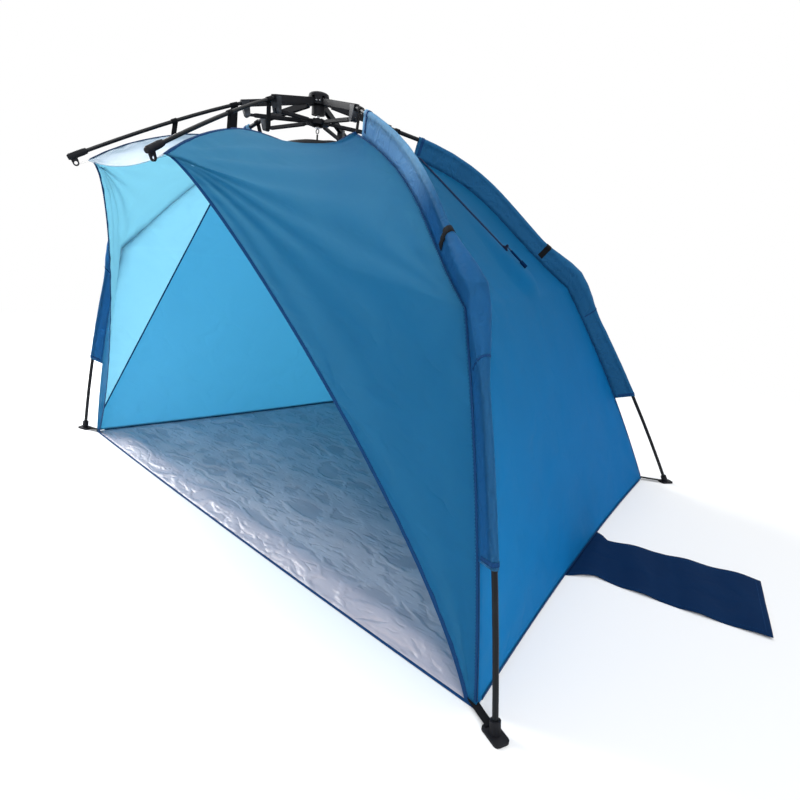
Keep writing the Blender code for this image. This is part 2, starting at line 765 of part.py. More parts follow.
def bracket_mesh():
    """Make one bracket: a saddle round the arm with ears for the strut."""
    half_inner = ARM_WIDTH / 2.0 + GAP
    half_outer = half_inner + BRACKET_WALL
    pivot = (ARM_LENGTH - STRUT_PIVOT_BACK, -STRUT_PIVOT_DROP)
    left, right = pivot[0] - BRACKET_HALF_LENGTH, ARM_LENGTH - GAP
    outline = [(right, BRACKET_RISE), (left, BRACKET_RISE)]
    outline += arc(pivot, BRACKET_EAR_RADIUS, math.radians(190.0), math.radians(350.0), 8)
    body = prism("bracket", outline, half_outer)
    under = -ARM_HEIGHT / 2.0 - GAP
    passage = box("passage", (left - OVERRUN, -half_inner, under), (right + OVERRUN, half_inner, BRACKET_RISE + OVERRUN))
    slot = box("slot", (left - OVERRUN, -STRUT_SLOT_WIDTH / 2.0, pivot[1] - BRACKET_EAR_RADIUS - OVERRUN),
               (right + OVERRUN, STRUT_SLOT_WIDTH / 2.0, pivot[1] + STRUT_EYE_RADIUS + 2.0 * JOINT_PLAY))
    cut = carve("bracket", body, cuts=(passage, slot))
    pin = rod("pin", (pivot[0], -half_outer + GAP, pivot[1]), (pivot[0], half_outer - GAP, pivot[1]), STRUT_PIN_RADIUS)
    return carve("bracket", cut, unions=(pin,))


def strut_ends():
    """Return the strut's pivot and its free end in a rib's frame."""
    turn = Matrix.Rotation(ARM_DROP, 4, "Y")
    pivot = turn @ Vector((ARM_LENGTH - STRUT_PIVOT_BACK, 0.0, -STRUT_PIVOT_DROP))
    seat = Vector((STRUT_SEAT_RADIUS - PIVOT_RADIUS, 0.0, STRUT_SEAT_Z - PIVOT_Z))
    return pivot, seat


def strut_mesh():
    """Make one strut along -X from its pivot: a bar with a flat tongue at each end."""
    pivot, seat = strut_ends()
    length = (seat - pivot).length
    outline = arc((0.0, 0.0), STRUT_EYE_RADIUS, -math.pi / 2.0, math.pi / 2.0, ARC_POINTS)
    outline += arc((-length, 0.0), STRUT_EYE_RADIUS, math.pi / 2.0, 3.0 * math.pi / 2.0, ARC_POINTS)
    tongue = prism("tongue", outline, STRUT_TONGUE_WIDTH / 2.0)
    half_width, half_height = STRUT_BAR_WIDTH / 2.0, STRUT_BAR_HEIGHT / 2.0
    near, far = -STRUT_TONGUE_LENGTH, STRUT_TONGUE_LENGTH - length
    bevel = half_width / 2.0
    section = [(half_width, half_height - bevel), (half_width - bevel, half_height),
               (-half_width + bevel, half_height), (-half_width, half_height - bevel),
               (-half_width, -half_height + bevel), (-half_width + bevel, -half_height),
               (half_width - bevel, -half_height), (half_width, -half_height + bevel)]
    rings = []
    for x, share in ((near, STRUT_END_SHARE), (near - half_height, 1.0), (far + half_height, 1.0), (far, STRUT_END_SHARE)):
        rings.append([Vector((x, y * share, z * share)) for y, z in section])
    bar = loft("bar", rings)
    hole = rod("hole", (0.0, -half_width, 0.0), (0.0, half_width, 0.0), STRUT_PIN_RADIUS + GAP)
    joined = carve("strut", bar, unions=(tongue,))
    return carve("strut", joined, cuts=(hole,))


def build_lower_hub(materials):
    """Make the lower hub with its shaft and pull ring, which slide together."""
    runner = make_empty("runner", Matrix.Translation(UP * STRUT_SEAT_Z))
    half, ear_half = LOWER_HUB_HEIGHT / 2.0, LOWER_HUB_EAR_HEIGHT / 2.0
    bore = SHAFT_RADIUS + GAP
    profile = ((bore, half), (LOWER_HUB_BARREL_RADIUS, half), (LOWER_HUB_BARREL_RADIUS, ear_half),
               (LOWER_HUB_EAR_RADIUS, ear_half), (LOWER_HUB_EAR_RADIUS, -ear_half),
               (LOWER_HUB_BARREL_RADIUS, -ear_half), (LOWER_HUB_BARREL_RADIUS, -half), (bore, -half))
    body = lathe("lower_hub", profile, LATHE_SIDES)
    cuts = []
    for kind in ("awning", "front", "rear"):
        for label, sign in SIDES:
            slot = box("slot", (LOWER_HUB_CORE_RADIUS, -STRUT_SLOT_WIDTH / 2.0, -half - OVERRUN),
                       (LOWER_HUB_EAR_RADIUS + OVERRUN, STRUT_SLOT_WIDTH / 2.0, half + OVERRUN))
            cuts.append(turned(slot, plane_matrix(Vector(), sign * AZIMUTHS[kind])))
    place("lower_hub", carve("lower_hub", body, cuts=cuts), materials["frame_black"], runner)
    head_top = -half - GAP
    head_floor = head_top - SHAFT_HEAD_HEIGHT
    shaft_top = PIVOT_Z - SKIRT_DEPTH + SHAFT_ENTRY - STRUT_SEAT_Z
    shaft_profile = ((0.0, shaft_top), (SHAFT_RADIUS, shaft_top), (SHAFT_RADIUS, head_top),
                     (SHAFT_HEAD_RADIUS, head_top), (SHAFT_HEAD_RADIUS, head_floor), (0.0, head_floor))
    place("centre_pin", lathe("centre_pin", shaft_profile, SMALL_SIDES * 2), materials["steel"], runner)
    ring_centre = Vector((0.0, 0.0, head_floor - GAP - RING_RADIUS))
    middle = RING_RADIUS - RING_WIRE_RADIUS
    rings = []
    for index in range(SMALL_SIDES):
        angle = math.tau * index / SMALL_SIDES
        out = Vector((math.cos(angle), 0.0, math.sin(angle)))
        across = Vector((0.0, 1.0, 0.0))
        ring = []
        for step in range(6):
            turn = math.tau * step / 6
            ring.append(ring_centre + out * (middle + RING_WIRE_RADIUS * math.cos(turn))
                        + across * (RING_WIRE_RADIUS * math.sin(turn)))
        rings.append(ring)
    place("pull_ring", loft("pull_ring", rings, capped=False), materials["frame_black"], runner)


def pole_mesh(name, points, radius, side):
    """Sweep a round pole along its points."""
    rings = []
    for index, point in enumerate(points):
        ahead = points[min(index + 1, len(points) - 1)]
        behind = points[max(index - 1, 0)]
        rings.append(ring_points(point, (ahead - behind).normalized(), side, radius, POLE_SIDES))
    return loft(name, rings)


def local(mesh, frame):
    """Bring a mesh modelled in world places into a frame's own places."""
    return turned(mesh, frame.inverted())


def elbow_frame(leg):
    """Return a frame on the elbow's pin: X outwards, Y along the pin."""
    return plane_matrix(leg.hinge, leg.plane_azimuth)


def in_plane(frame, point):
    """Return a world point as (x, z) in an upright plane's frame."""
    spot = frame.inverted() @ point
    return spot.x, spot.z


def elbow_mesh(leg, frame):
    """Make the upper half of an elbow: a socket with two ears and a pin."""
    along, normal = leg.upper_end, leg.upper_normal
    back = leg.knee - along * (ELBOW_SETBACK + ELBOW_LENGTH)
    front = leg.knee - along * ELBOW_SETBACK
    corners = (front + normal * ELBOW_HALF_HEIGHT, back + normal * ELBOW_HALF_HEIGHT,
               back - normal * ELBOW_HALF_HEIGHT, front - normal * ELBOW_HALF_HEIGHT)
    outline = [in_plane(frame, corner) for corner in corners]
    base = -leg.end_drop
    outline += arc((0.0, 0.0), ELBOW_EAR_RADIUS, base - math.radians(100.0), base + math.radians(100.0), 9)
    body = prism("elbow", outline, ELBOW_HALF_WIDTH)
    bore = rod("bore", back - along * OVERRUN, back + along * ELBOW_SOCKET_DEPTH, LEG_POLE_RADIUS + GAP, POLE_SIDES * 2)
    bore = local(bore, frame)
    reach = ELBOW_LENGTH
    turn = Matrix.Rotation(leg.end_drop, 4, "Y")
    slot = box("slot", (-ELBOW_SETBACK * 1.25, -ELBOW_SLOT_WIDTH / 2.0, -reach), (reach, ELBOW_SLOT_WIDTH / 2.0, reach))
    slot = turned(slot, turn)
    cut = carve("elbow", body, cuts=(bore, slot))
    half = ELBOW_HALF_WIDTH - GAP
    pin = rod("pin", (0.0, -half, 0.0), (0.0, half, 0.0), ELBOW_PIN_RADIUS)
    return carve("elbow", cut, unions=(pin,))


def lower_pole_mesh(leg, frame):
    """Make a lower pole with the ferrule and tongue of its elbow."""
    start = leg.lower_start
    normal = start.cross(leg.side).normalized()
    if normal.dot(leg.out) < 0.0:
        normal.negate()
    ferrule_start = leg.knee + start * ELBOW_SETBACK
    ferrule_end = ferrule_start + start * FERRULE_LENGTH
    ferrule = rod("ferrule", ferrule_start, ferrule_end, FERRULE_RADIUS, POLE_SIDES * 2)
    inner = FERRULE_RADIUS * 0.8
    depth = start * (FERRULE_LENGTH / 3.0)
    root = (ferrule_start + depth - normal * inner, ferrule_start + depth + normal * inner)
    outline = [in_plane(frame, point) for point in root]
    lean = math.atan2(-start.z, start.dot(leg.out))
    outline += arc((0.0, 0.0), ELBOW_TONGUE_RADIUS, -lean + math.radians(80.0), -lean + math.radians(260.0), 9)
    tongue = prism("tongue", outline, ELBOW_TONGUE_WIDTH / 2.0)
    points = [ferrule_start + start * (FERRULE_LENGTH / 2.0)]
    toe = leg.foot - leg.lower_end * ((SHOE_FLOOR + GAP) / -leg.lower_end.z)
    for index in range(1, POLE_RINGS):
        points.append(bezier(leg.lower_controls, index / POLE_RINGS))
    points.append(leg.foot - leg.lower_end * (SHOE_CUP_LENGTH + GAP))
    points.append(toe)
    pole = pole_mesh("pole", points, LEG_POLE_RADIUS, leg.side)
    pole = local(pole, frame)
    ferrule = local(ferrule, frame)
    joined = carve("lower_pole", pole, unions=(ferrule, tongue))
    hole = rod("hole", (0.0, -ELBOW_HALF_WIDTH, 0.0), (0.0, ELBOW_HALF_WIDTH, 0.0), ELBOW_PIN_RADIUS + GAP)
    return carve("lower_pole", joined, cuts=(hole,))


def shoe_mesh(leg, frame):
    """Make a shoe: a cup on the pole's end over a flat base with a webbing slot."""
    up = -leg.lower_end
    cup_end = leg.foot + up * SHOE_CUP_LENGTH
    cup = rod("cup", leg.foot - up * SHOE_BASE_THICKNESS, cup_end, SHOE_CUP_RADIUS, POLE_SIDES * 2)
    half_length, half_width = SHOE_BASE_LENGTH / 2.0, SHOE_BASE_WIDTH / 2.0
    base_outline = []
    for sign_x, sign_y, start in ((1.0, 1.0, 0.0), (-1.0, 1.0, 0.5), (-1.0, -1.0, 1.0), (1.0, -1.0, 1.5)):
        centre = (sign_x * (half_length - half_width / 2.0), sign_y * half_width / 2.0)
        base_outline += arc(centre, half_width / 2.0, start * math.pi, (start + 0.5) * math.pi, CORNER_POINTS)
    rings = [[Vector((x, y, z)) for x, y in base_outline] for z in (0.0, SHOE_BASE_THICKNESS)]
    base = loft("base", rings)
    site = plane_matrix(Vector((leg.foot.x, leg.foot.y, 0.0)), leg.plane_azimuth)
    slot_x = SHOE_SLOT_WIDTH / 2.0 - half_length + SHOE_SLOT_WIDTH
    slot = box("slot", (slot_x - SHOE_SLOT_WIDTH / 2.0, -SHOE_SLOT_LENGTH / 2.0, -OVERRUN),
               (slot_x + SHOE_SLOT_WIDTH / 2.0, SHOE_SLOT_LENGTH / 2.0, SHOE_BASE_THICKNESS + OVERRUN))
    ground = box("ground", (-SHOE_BASE_LENGTH, -SHOE_BASE_LENGTH, -SHOE_BASE_LENGTH), (SHOE_BASE_LENGTH, SHOE_BASE_LENGTH, 0.0))
    bore_start = leg.foot + up * (SHOE_FLOOR / up.z)
    bore = rod("bore", bore_start, cup_end + up * OVERRUN, LEG_POLE_RADIUS + GAP, POLE_SIDES * 2)
    joined = carve("shoe", turned(base, site), unions=(cup,))
    shoe = carve("shoe", joined, cuts=(turned(ground, site), turned(slot, site), bore))
    return local(shoe, frame)


def build_legs(materials, arm, bracket, strut):
    """Make the four legs with their arms, struts, elbows and shoes."""
    arm_turn = Matrix.Rotation(ARM_DROP, 4, "Y")
    pivot, seat = strut_ends()
    rise = math.atan2(seat.z - pivot.z, pivot.x - seat.x)
    leg_arm = carve("leg_arm", arm.copy(), cuts=(socket_cut(LEG_POLE_RADIUS),))
    for (kind, label), leg in LEGS.items():
        tail = kind + "_" + label
        frame = rib_matrix(leg.azimuth)
        rib = make_empty("rib_" + tail, frame)
        place("arm_" + tail, leg_arm.copy(), materials["frame_black"], rib, arm_turn)
        place("bracket_" + tail, bracket.copy(), materials["frame_black"], rib, arm_turn)
        swing = make_empty("swing_" + tail, Matrix.Translation(pivot) @ Matrix.Rotation(rise, 4, "Y"), rib)
        place("strut_" + tail, strut.copy(), materials["frame_black"], swing)
        arm_along = dropped(radial(leg.azimuth), ARM_DROP)
        points = [leg.arm_end - arm_along * (SOCKET_DEPTH - GAP), leg.arm_end + arm_along * GAP]
        end = leg.knee - leg.upper_end * (ELBOW_SETBACK + ELBOW_LENGTH - ELBOW_SOCKET_DEPTH + GAP)
        for index in range(1, POLE_RINGS):
            points.append(bezier(leg.controls, index / (POLE_RINGS + 1)))
        points.append(leg.knee - leg.upper_end * (ELBOW_SETBACK + ELBOW_LENGTH + GAP))
        points.append(end)
        pole = pole_mesh("upper_pole_" + tail, points, LEG_POLE_RADIUS, leg.side)
        place("upper_pole_" + tail, local(pole, frame), materials["pole_black"], rib)
        knee_frame = elbow_frame(leg)
        knee_local = frame.inverted() @ knee_frame
        place("elbow_upper_" + tail, elbow_mesh(leg, knee_frame), materials["frame_black"], rib, knee_local)
        knee = make_empty("knee_" + tail, knee_local, rib)
        place("lower_pole_" + tail, lower_pole_mesh(leg, knee_frame), materials["pole_black"], knee)
        place("shoe_" + tail, shoe_mesh(leg, knee_frame), materials["frame_black"], knee)
        place("sleeve_" + tail, local(sleeve_mesh(leg), frame), materials["sleeve_blue"], rib)


def build_awning(materials, arm, bracket, strut):
    """Make the two short ribs that hold the awning roof."""
    arm_turn = Matrix.Rotation(ARM_DROP, 4, "Y")
    pivot, seat = strut_ends()
    rise = math.atan2(seat.z - pivot.z, pivot.x - seat.x)
    awning_arm = carve("awning_arm", arm.copy(), cuts=(socket_cut(AWNING_POLE_RADIUS),))
    arm_along = dropped(Vector((1.0, 0.0, 0.0)), ARM_DROP)
    arm_end = arm_along * ARM_LENGTH
    control = arm_end + dropped(Vector((1.0, 0.0, 0.0)), AWNING_START_DROP) * AWNING_START_PULL
    tip = Vector((AWNING_TIP_REACH - PIVOT_RADIUS, 0.0, AWNING_TIP_Z - PIVOT_Z))
    tip_along = (tip - control).normalized()
    pole_end = tip - tip_along * (TIP_LENGTH - TIP_SEAT_DEPTH + GAP)
    points = [arm_end - arm_along * (SOCKET_DEPTH - GAP), arm_end + arm_along * GAP]
    for index in range(1, POLE_RINGS):
        points.append(bezier((arm_end, control, pole_end), index / POLE_RINGS))
    points.append(pole_end)
    side = Vector((0.0, 1.0, 0.0))
    for label, sign in SIDES:
        tail = "awning_" + label
        rib = make_empty("rib_" + tail, rib_matrix(sign * AWNING_AZIMUTH))
        place("arm_" + tail, awning_arm.copy(), materials["frame_black"], rib, arm_turn)
        place("bracket_" + tail, bracket.copy(), materials["frame_black"], rib, arm_turn)
        swing = make_empty("swing_" + tail, Matrix.Translation(pivot) @ Matrix.Rotation(rise, 4, "Y"), rib)
        place("strut_" + tail, strut.copy(), materials["frame_black"], swing)
        pole = pole_mesh("pole_" + tail, points, AWNING_POLE_RADIUS, side)
        place("pole_" + tail, pole, materials["pole_black"], rib)
        place("tip_" + tail, tip_mesh(tip, tip_along, pole_end), materials["frame_black"], rib)


def tip_mesh(tip, along, pole_end):
    """Make the end cap of an awning pole, with a lug for the webbing."""
    start = tip - along * TIP_LENGTH
    back_end = tip - along * TIP_NOSE_LENGTH
    side = Vector((0.0, 1.0, 0.0))
    stations = ((start, TIP_MOUTH_SHARE), (start + along * TIP_MOUTH_LENGTH, 1.0), (back_end, 1.0), (tip, TIP_NOSE_SHARE))
    rings = [ring_points(spot, along, side, TIP_RADIUS * share, POLE_SIDES * 2) for spot, share in stations]
    cap = loft("cap", rings)
    down = along.cross(side).normalized()
    if down.z > 0.0:
        down.negate()
    lug_centre = tip - along * (TIP_LUG_LENGTH / 2.0) + down * TIP_LUG_DROP
    outline = []
    for point in (tip - along * TIP_LUG_SETBACK, tip - along * TIP_LUG_LENGTH):
        outline.append((point.x, point.z))
    lean = math.atan2(-along.z, along.x)
    outline += arc((lug_centre.x, lug_centre.z), TIP_LUG_RADIUS, -lean - TIP_LUG_ARC[0], -lean - TIP_LUG_ARC[1], ARC_POINTS)
    lug = prism("lug", outline, TIP_LUG_WIDTH / 2.0)
    hole = rod("hole", lug_centre - side * TIP_LUG_WIDTH, lug_centre + side * TIP_LUG_WIDTH, TIP_LUG_HOLE_RADIUS)
    bore = rod("bore", start - along * OVERRUN, pole_end + along * GAP, AWNING_POLE_RADIUS + GAP, POLE_SIDES * 2)
    joined = carve("tip", cap, unions=(lug,))
    return carve("tip", joined, cuts=(hole, bore))


def sleeve_mesh(leg):
    """Make a pocket of cloth that runs from the canopy seam round a leg pole."""
    upper_step = SLEEVE_ELBOW_HALF_LENGTH / ((leg.knee - leg.arm_end).length / UPPER_ROWS)
    lower_step = SLEEVE_ELBOW_HALF_LENGTH / ((leg.foot - leg.knee).length / LOWER_ROWS)
    plain = LEG_POLE_RADIUS + SLEEVE_PLAY
    stations = [(row, plain, 0.0) for row in SLEEVE_ROWS[leg.kind]]
    wide = (SLEEVE_ELBOW_RADIUS, SLEEVE_ELBOW_SHIFT)
    stations += [(KNEE_ROW - upper_step * SLEEVE_TAPER, plain, 0.0), (KNEE_ROW - upper_step, *wide), (KNEE_ROW, *wide),
                 (KNEE_ROW + lower_step, *wide), (KNEE_ROW + lower_step * SLEEVE_TAPER, plain, 0.0)]
    stations.sort()
    outer_rings, inner_rings = [], []
    for row, radius, shift in stations:
        seam = leg.seam(row)
        pole = leg.pole(row)
        inward = (seam - pole).normalized()
        side = leg.side - inward * leg.side.dot(inward)
        side.normalize()
        centre = pole - inward * shift
        reach = (seam - centre).length - SEAM_GAP * 2.0
        half = SLEEVE_WALL
        outer = [centre + inward * reach + side * half]
        for index in range(SLEEVE_SIDES - 2):
            angle = SLEEVE_LOOP_START + SLEEVE_LOOP_TURN * index / (SLEEVE_SIDES - 3)
            wall = radius + SLEEVE_WALL
            outer.append(centre + inward * (wall * math.cos(angle)) + side * (wall * math.sin(angle)))
        outer.append(centre + inward * reach - side * half)
        inner = []
        for index in range(SLEEVE_SIDES):
            angle = math.tau * (index + 0.5) / SLEEVE_SIDES
            inner.append(centre + inward * (radius * math.cos(angle)) + side * (radius * math.sin(angle)))
        outer_rings.append(outer)
        inner_rings.append(inner)
    work = bmesh.new()
    outers = [[work.verts.new(point) for point in ring] for ring in outer_rings]
    inners = [[work.verts.new(point) for point in ring] for ring in inner_rings]
    for loops in (outers, inners):
        for first, second in zip(loops, loops[1:]):
            for index in range(SLEEVE_SIDES):
                after = (index + 1) % SLEEVE_SIDES
                work.faces.new((first[index], first[after], second[after], second[index]))
    for end in (0, -1):
        for index in range(SLEEVE_SIDES):
            after = (index + 1) % SLEEVE_SIDES
            work.faces.new((outers[end][index], outers[end][after], inners[end][after], inners[end][index]))
    return finish_mesh("sleeve", work)


def inset_spot(point):
    """Return a ground place just inside the foot of a wall."""
    inset = Vector((0.0, PANEL_HEART_Y, 0.0)) - point
    inset.z = 0.0
    spot = point + inset.normalized() * CLOTH_THICKNESS
    return spot.x, spot.y


def shoe_reach():
    """Return how far a shoe's base reaches from its pole."""
    corner = SHOE_BASE_WIDTH / 4.0
    return math.hypot(SHOE_BASE_LENGTH / 2.0 - corner, SHOE_BASE_WIDTH / 2.0 - corner) + corner


def corner_tab(leg, spot):
    """Return the webbing tab from a floor corner to its shoe, in the floor's own order."""
    start = Vector((*spot, 0.0))
    along = (leg.foot - start).normalized()
    toe = leg.foot - along * (shoe_reach() + GAP)
    half = UP.cross(along) * (WEBBING_WIDTH / 2.0)
    return [(spot.x, spot.y) for spot in (start - half, toe - half, toe + half, start + half)]


def build_canopy(materials):
    """Make the cloth panels of the canopy and the floor."""
    roof = carve("awning_roof", cloth("awning_roof", roof_rows()), unions=roof_bands(-1.0) + roof_bands(1.0))
    place("awning_roof", roof, materials["roof_pale"])
    for label, sign in SIDES:
        place("wing_" + label, cloth("wing_" + label, wing_rows(sign)), materials["cloth_blue"])
        place("side_" + label, cloth("side_" + label, side_rows(sign)), materials["cloth_deep"])
    place("rear_wall", cloth("rear_wall", rear_rows()), materials["cloth_deep"])
    outline = []
    for line, kinds in ((side_rows(1.0)[-1], (("front", "right"), ("rear", "right"))),
                        (list(reversed(rear_rows()[-1])), ()),
                        (list(reversed(side_rows(-1.0)[-1])), (("rear", "left"), ("front", "left")))):
        spots = [inset_spot(point) for point in line]
        if kinds:
            spots[:1] = corner_tab(LEGS[kinds[0]], spots[0])
            spots[-1:] = corner_tab(LEGS[kinds[1]], spots[-1])
        else:
            spots = spots[1:-1]
        outline += spots
    rings = [[Vector((x, y, z)) for x, y in outline] for z in (0.0, FLOOR_THICKNESS)]
    place("floor", loft("floor", rings), materials["floor_silver"])


def build_flap(materials):
    """Make the flap that lies on the ground beside the right side wall."""
    bottom = side_rows(1.0)[-1]
    start = bottom[0].lerp(bottom[-1], FLAP_START_SHARE)
    end = bottom[0].lerp(bottom[-1], FLAP_END_SHARE)
    along = (end - start).normalized()
    outward = along.cross(UP).normalized()
    root_gap = outward * FLAP_ROOT_GAP
    first = start + root_gap - outward * SIDE_SAG
    second = end + root_gap - outward * SIDE_SAG
    lead = Matrix.Rotation(FLAP_TURN, 3, "Z") @ outward
    across = UP.cross(lead)
    heart = (first + second) / 2.0
    rows = []
    for share, width_share in FLAP_STATIONS:
        centre = heart + lead * (FLAP_LENGTH * share)
        half = across * (FLAP_WIDTH * width_share / 2.0)
        near, far = centre - half, centre + half
        if share == 0.0:
            near, far = first, second
        line = []
        for column in range(FLAP_COLUMNS + 1):
            spot = near.lerp(far, column / FLAP_COLUMNS)
            line.append(Vector((spot.x, spot.y, FLAP_THICKNESS / 2.0)))
        rows.append(line)
    place("ground_flap", cloth("ground_flap", rows, FLAP_THICKNESS), materials["flap_navy"])


def zip_line():
    """Return the ends of the zip and the outward normal of the cloth there."""
    rows = side_rows(1.0)
    top, top_normal = surface_point(rows, ZIP_TOP_ROW, ZIP_TOP_SHARE)
    end, end_normal = surface_point(rows, ZIP_END_ROW, ZIP_END_SHARE)
    normal = (top_normal + end_normal).normalized()
    if normal.z < 0.0:
        normal.negate()
    lift = 0.0
    for index in range(ZIP_SAMPLES + 1):
        share = index / ZIP_SAMPLES
        row = ZIP_TOP_ROW + (ZIP_END_ROW - ZIP_TOP_ROW) * share
        column = ZIP_TOP_SHARE + (ZIP_END_SHARE - ZIP_TOP_SHARE) * share
        spot, _ = surface_point(rows, row, column)
        lift = max(lift, (spot - top.lerp(end, share)).dot(normal))
    rise = normal * (lift + ZIP_LIFT)
    return top + rise, end + rise, normal


def zip_frame():
    """Return a frame at the zip's lower end: X up along it, Z out of the cloth."""
    top, end, normal = zip_line()
    along = (top - end).normalized()
    side = normal.cross(along).normalized()
    out = along.cross(side)
    basis = Matrix((along, side, out)).transposed().to_4x4()
    return Matrix.Translation(end) @ basis, (top - end).length


def build_zip(materials):
    """Make the zip chain, its slider and its hanging pull."""
    frame, length = zip_frame()
    half = ZIP_WIDTH / 2.0
    chain = box("zip_chain", (0.0, -half, 0.0), (length, half, ZIP_THICKNESS))
    place("zip_chain", turned(chain, frame), materials["zip_dark"])
    slider = make_empty("slider", frame)
    half_width = SLIDER_WIDTH / 2.0
    floor_z = ZIP_THICKNESS + GAP
    top_z = floor_z + SLIDER_THICKNESS - ZIP_THICKNESS
    body = box("slider", (0.0, -half_width, 0.0), (SLIDER_LENGTH, half_width, top_z))
    channel = box("channel", (-OVERRUN, -half - GAP, -OVERRUN), (SLIDER_LENGTH + OVERRUN, half + GAP, floor_z))
    lug_half = PULL_WIDTH / 2.0
    lug_top = top_z + SLIDER_LUG_HEIGHT
    lug_x = SLIDER_LENGTH / 2.0
    pin_z = top_z + PULL_EYE_RADIUS + JOINT_PLAY
    lugs = []
    for sign in (-1.0, 1.0):
        inner = sign * (lug_half + JOINT_PLAY)
        outer = sign * half_width
        low, high = min(inner, outer), max(inner, outer)
        lugs.append(box("lug", (lug_x - PULL_EYE_RADIUS, low, top_z - GAP), (lug_x + PULL_EYE_RADIUS, high, lug_top + PULL_EYE_RADIUS)))
    cut = carve("zip_slider", body, unions=lugs, cuts=(channel,))
    pin = rod("pin", (lug_x, -half_width + GAP, pin_z), (lug_x, half_width - GAP, pin_z), SLIDER_PIN_RADIUS)
    place("zip_slider", carve("zip_slider", cut, unions=(pin,)), materials["zip_dark"], slider)
    hang = make_empty("pull", Matrix.Translation((lug_x, 0.0, pin_z)), slider)
    outline = arc((0.0, 0.0), PULL_EYE_RADIUS, -math.pi / 2.0, math.pi / 2.0, ARC_POINTS)
    outline += [(-PULL_EYE_RADIUS, PULL_THICKNESS / 2.0), (-PULL_LENGTH, PULL_THICKNESS / 2.0),
                (-PULL_LENGTH, -PULL_THICKNESS / 2.0), (-PULL_EYE_RADIUS, -PULL_THICKNESS / 2.0)]
    tab = prism("pull", outline, lug_half)
    hole = rod("hole", (0.0, -half_width, 0.0), (0.0, half_width, 0.0), SLIDER_PIN_RADIUS + GAP)
    place("zip_pull", carve("zip_pull", tab, cuts=(hole,)), materials["zip_dark"], hang)


def band(first, second, side, width):
    """Make a flat band of webbing between two points."""
    along = (second - first).normalized()
    flat = (side - along * side.dot(along)).normalized()
    thick = along.cross(flat).normalized()
    rings = []
    for spot in (first, second):
        ring = []
        for across, depth in ((1, 1), (-1, 1), (-1, -1), (1, -1)):
            ring.append(spot + flat * (across * width / 2.0) + thick * (depth * WEBBING_THICKNESS / 2.0))
        rings.append(ring)
    return loft("band", rings)


def roof_bands(sign):
    """Return the bands sewn to the awning roof: one up to the pole, one to its tip."""
    out = radial(sign * AWNING_AZIMUTH)
    across = tangential(sign * AWNING_AZIMUTH)
    inboard = across * (-sign * BAND_INSET)
    frame = rib_matrix(sign * AWNING_AZIMUTH)
    arm_end = frame @ (dropped(Vector((1.0, 0.0, 0.0)), ARM_DROP) * ARM_LENGTH)
    start = arm_end + dropped(out, AWNING_START_DROP) * (WEBBING_WIDTH / 2.0)
    below = awning_cloth(out, sign, start.dot(out)) + inboard
    slope = WEBBING_WIDTH / 2.0 * math.tan(AWNING_START_DROP) + AWNING_POLE_RADIUS / math.cos(AWNING_START_DROP)
    hanger = band(start - UP * (slope + GAP * 3.0), below - UP * CLOTH_THICKNESS, out, WEBBING_WIDTH)
    tip = out * AWNING_TIP_REACH + UP * AWNING_TIP_Z
    corner = roof_seam(sign, ROOF_ROWS) - out * CLOTH_THICKNESS - across * (sign * TIP_BAND_INSET)
    lug = tip - out * TIP_BAND_BACK - UP * TIP_BAND_DROP
    tip_band = band(lug, corner, across, WEBBING_WIDTH / 2.0)
    return [hanger, tip_band]


def build_crown_strap(materials):
    """Make the patch on the crown and the strap up to the pull ring."""
    seat = CLOTH_THICKNESS / 2.0 + GAP * 2.0
    ring_floor = STRUT_SEAT_Z - LOWER_HUB_HEIGHT / 2.0 - SHAFT_HEAD_HEIGHT - RING_RADIUS * 2.0 - GAP * 4.0
    patch_floor = CROWN_Z + seat
    patch_top = patch_floor + WEBBING_THICKNESS
    patch = lathe("patch", ((0.0, patch_floor), (CROWN_PATCH_RADIUS, patch_floor),
                            (CROWN_PATCH_RADIUS, patch_top), (0.0, patch_top)), SMALL_SIDES * 2)
    strap = band(UP * ring_floor, UP * (patch_top - GAP), Vector((1.0, 0.0, 0.0)), RING_RADIUS)
    place("crown_strap", carve("crown_strap", patch, unions=(strap,)), materials["webbing"])


def awning_cloth(out, sign, reach):
    """Return the point on the awning seam at a distance from the hub."""
    low, high = 0.0, float(ROOF_ROWS)
    for _ in range(SEARCH_STEPS):
        middle = (low + high) / 2.0
        if roof_seam(sign, middle).dot(out) < reach:
            low = middle
        else:
            high = middle
    step = int(low)
    return roof_seam(sign, step).lerp(roof_seam(sign, step + 1), low - step)


def build():
    """Make the whole tent."""
    clear_scene()
    materials = {
        "frame_black": make_material("frame_black", (0.02, 0.02, 0.025), 0.45),
        "pole_black": make_material("pole_black", (0.03, 0.03, 0.035), 0.35),
        "steel": make_material("steel", (0.55, 0.55, 0.57), 0.3, 1.0),
        "roof_pale": make_material("roof_pale", (0.68, 0.72, 0.85), 0.6),
        "cloth_blue": make_material("cloth_blue", (0.03, 0.16, 0.35), 0.6),
        "cloth_deep": make_material("cloth_deep", (0.015, 0.12, 0.33), 0.6),
        "sleeve_blue": make_material("sleeve_blue", (0.10, 0.28, 0.55), 0.55),
        "floor_silver": make_material("floor_silver", (0.28, 0.33, 0.42), 0.45),
        "flap_navy": make_material("flap_navy", (0.004, 0.02, 0.09), 0.6),
        "webbing": make_material("webbing", (0.01, 0.01, 0.012), 0.8),
        "zip_dark": make_material("zip_dark", (0.01, 0.02, 0.05), 0.5),
    }
    build_hub(materials)
    build_lower_hub(materials)
    arm, bracket, strut = arm_mesh(), bracket_mesh(), strut_mesh()
    build_awning(materials, arm, bracket, strut)
    build_legs(materials, arm, bracket, strut)
    build_canopy(materials)
    build_flap(materials)
    build_zip(materials)
    build_crown_strap(materials)


build()
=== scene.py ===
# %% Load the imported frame
import json
import math

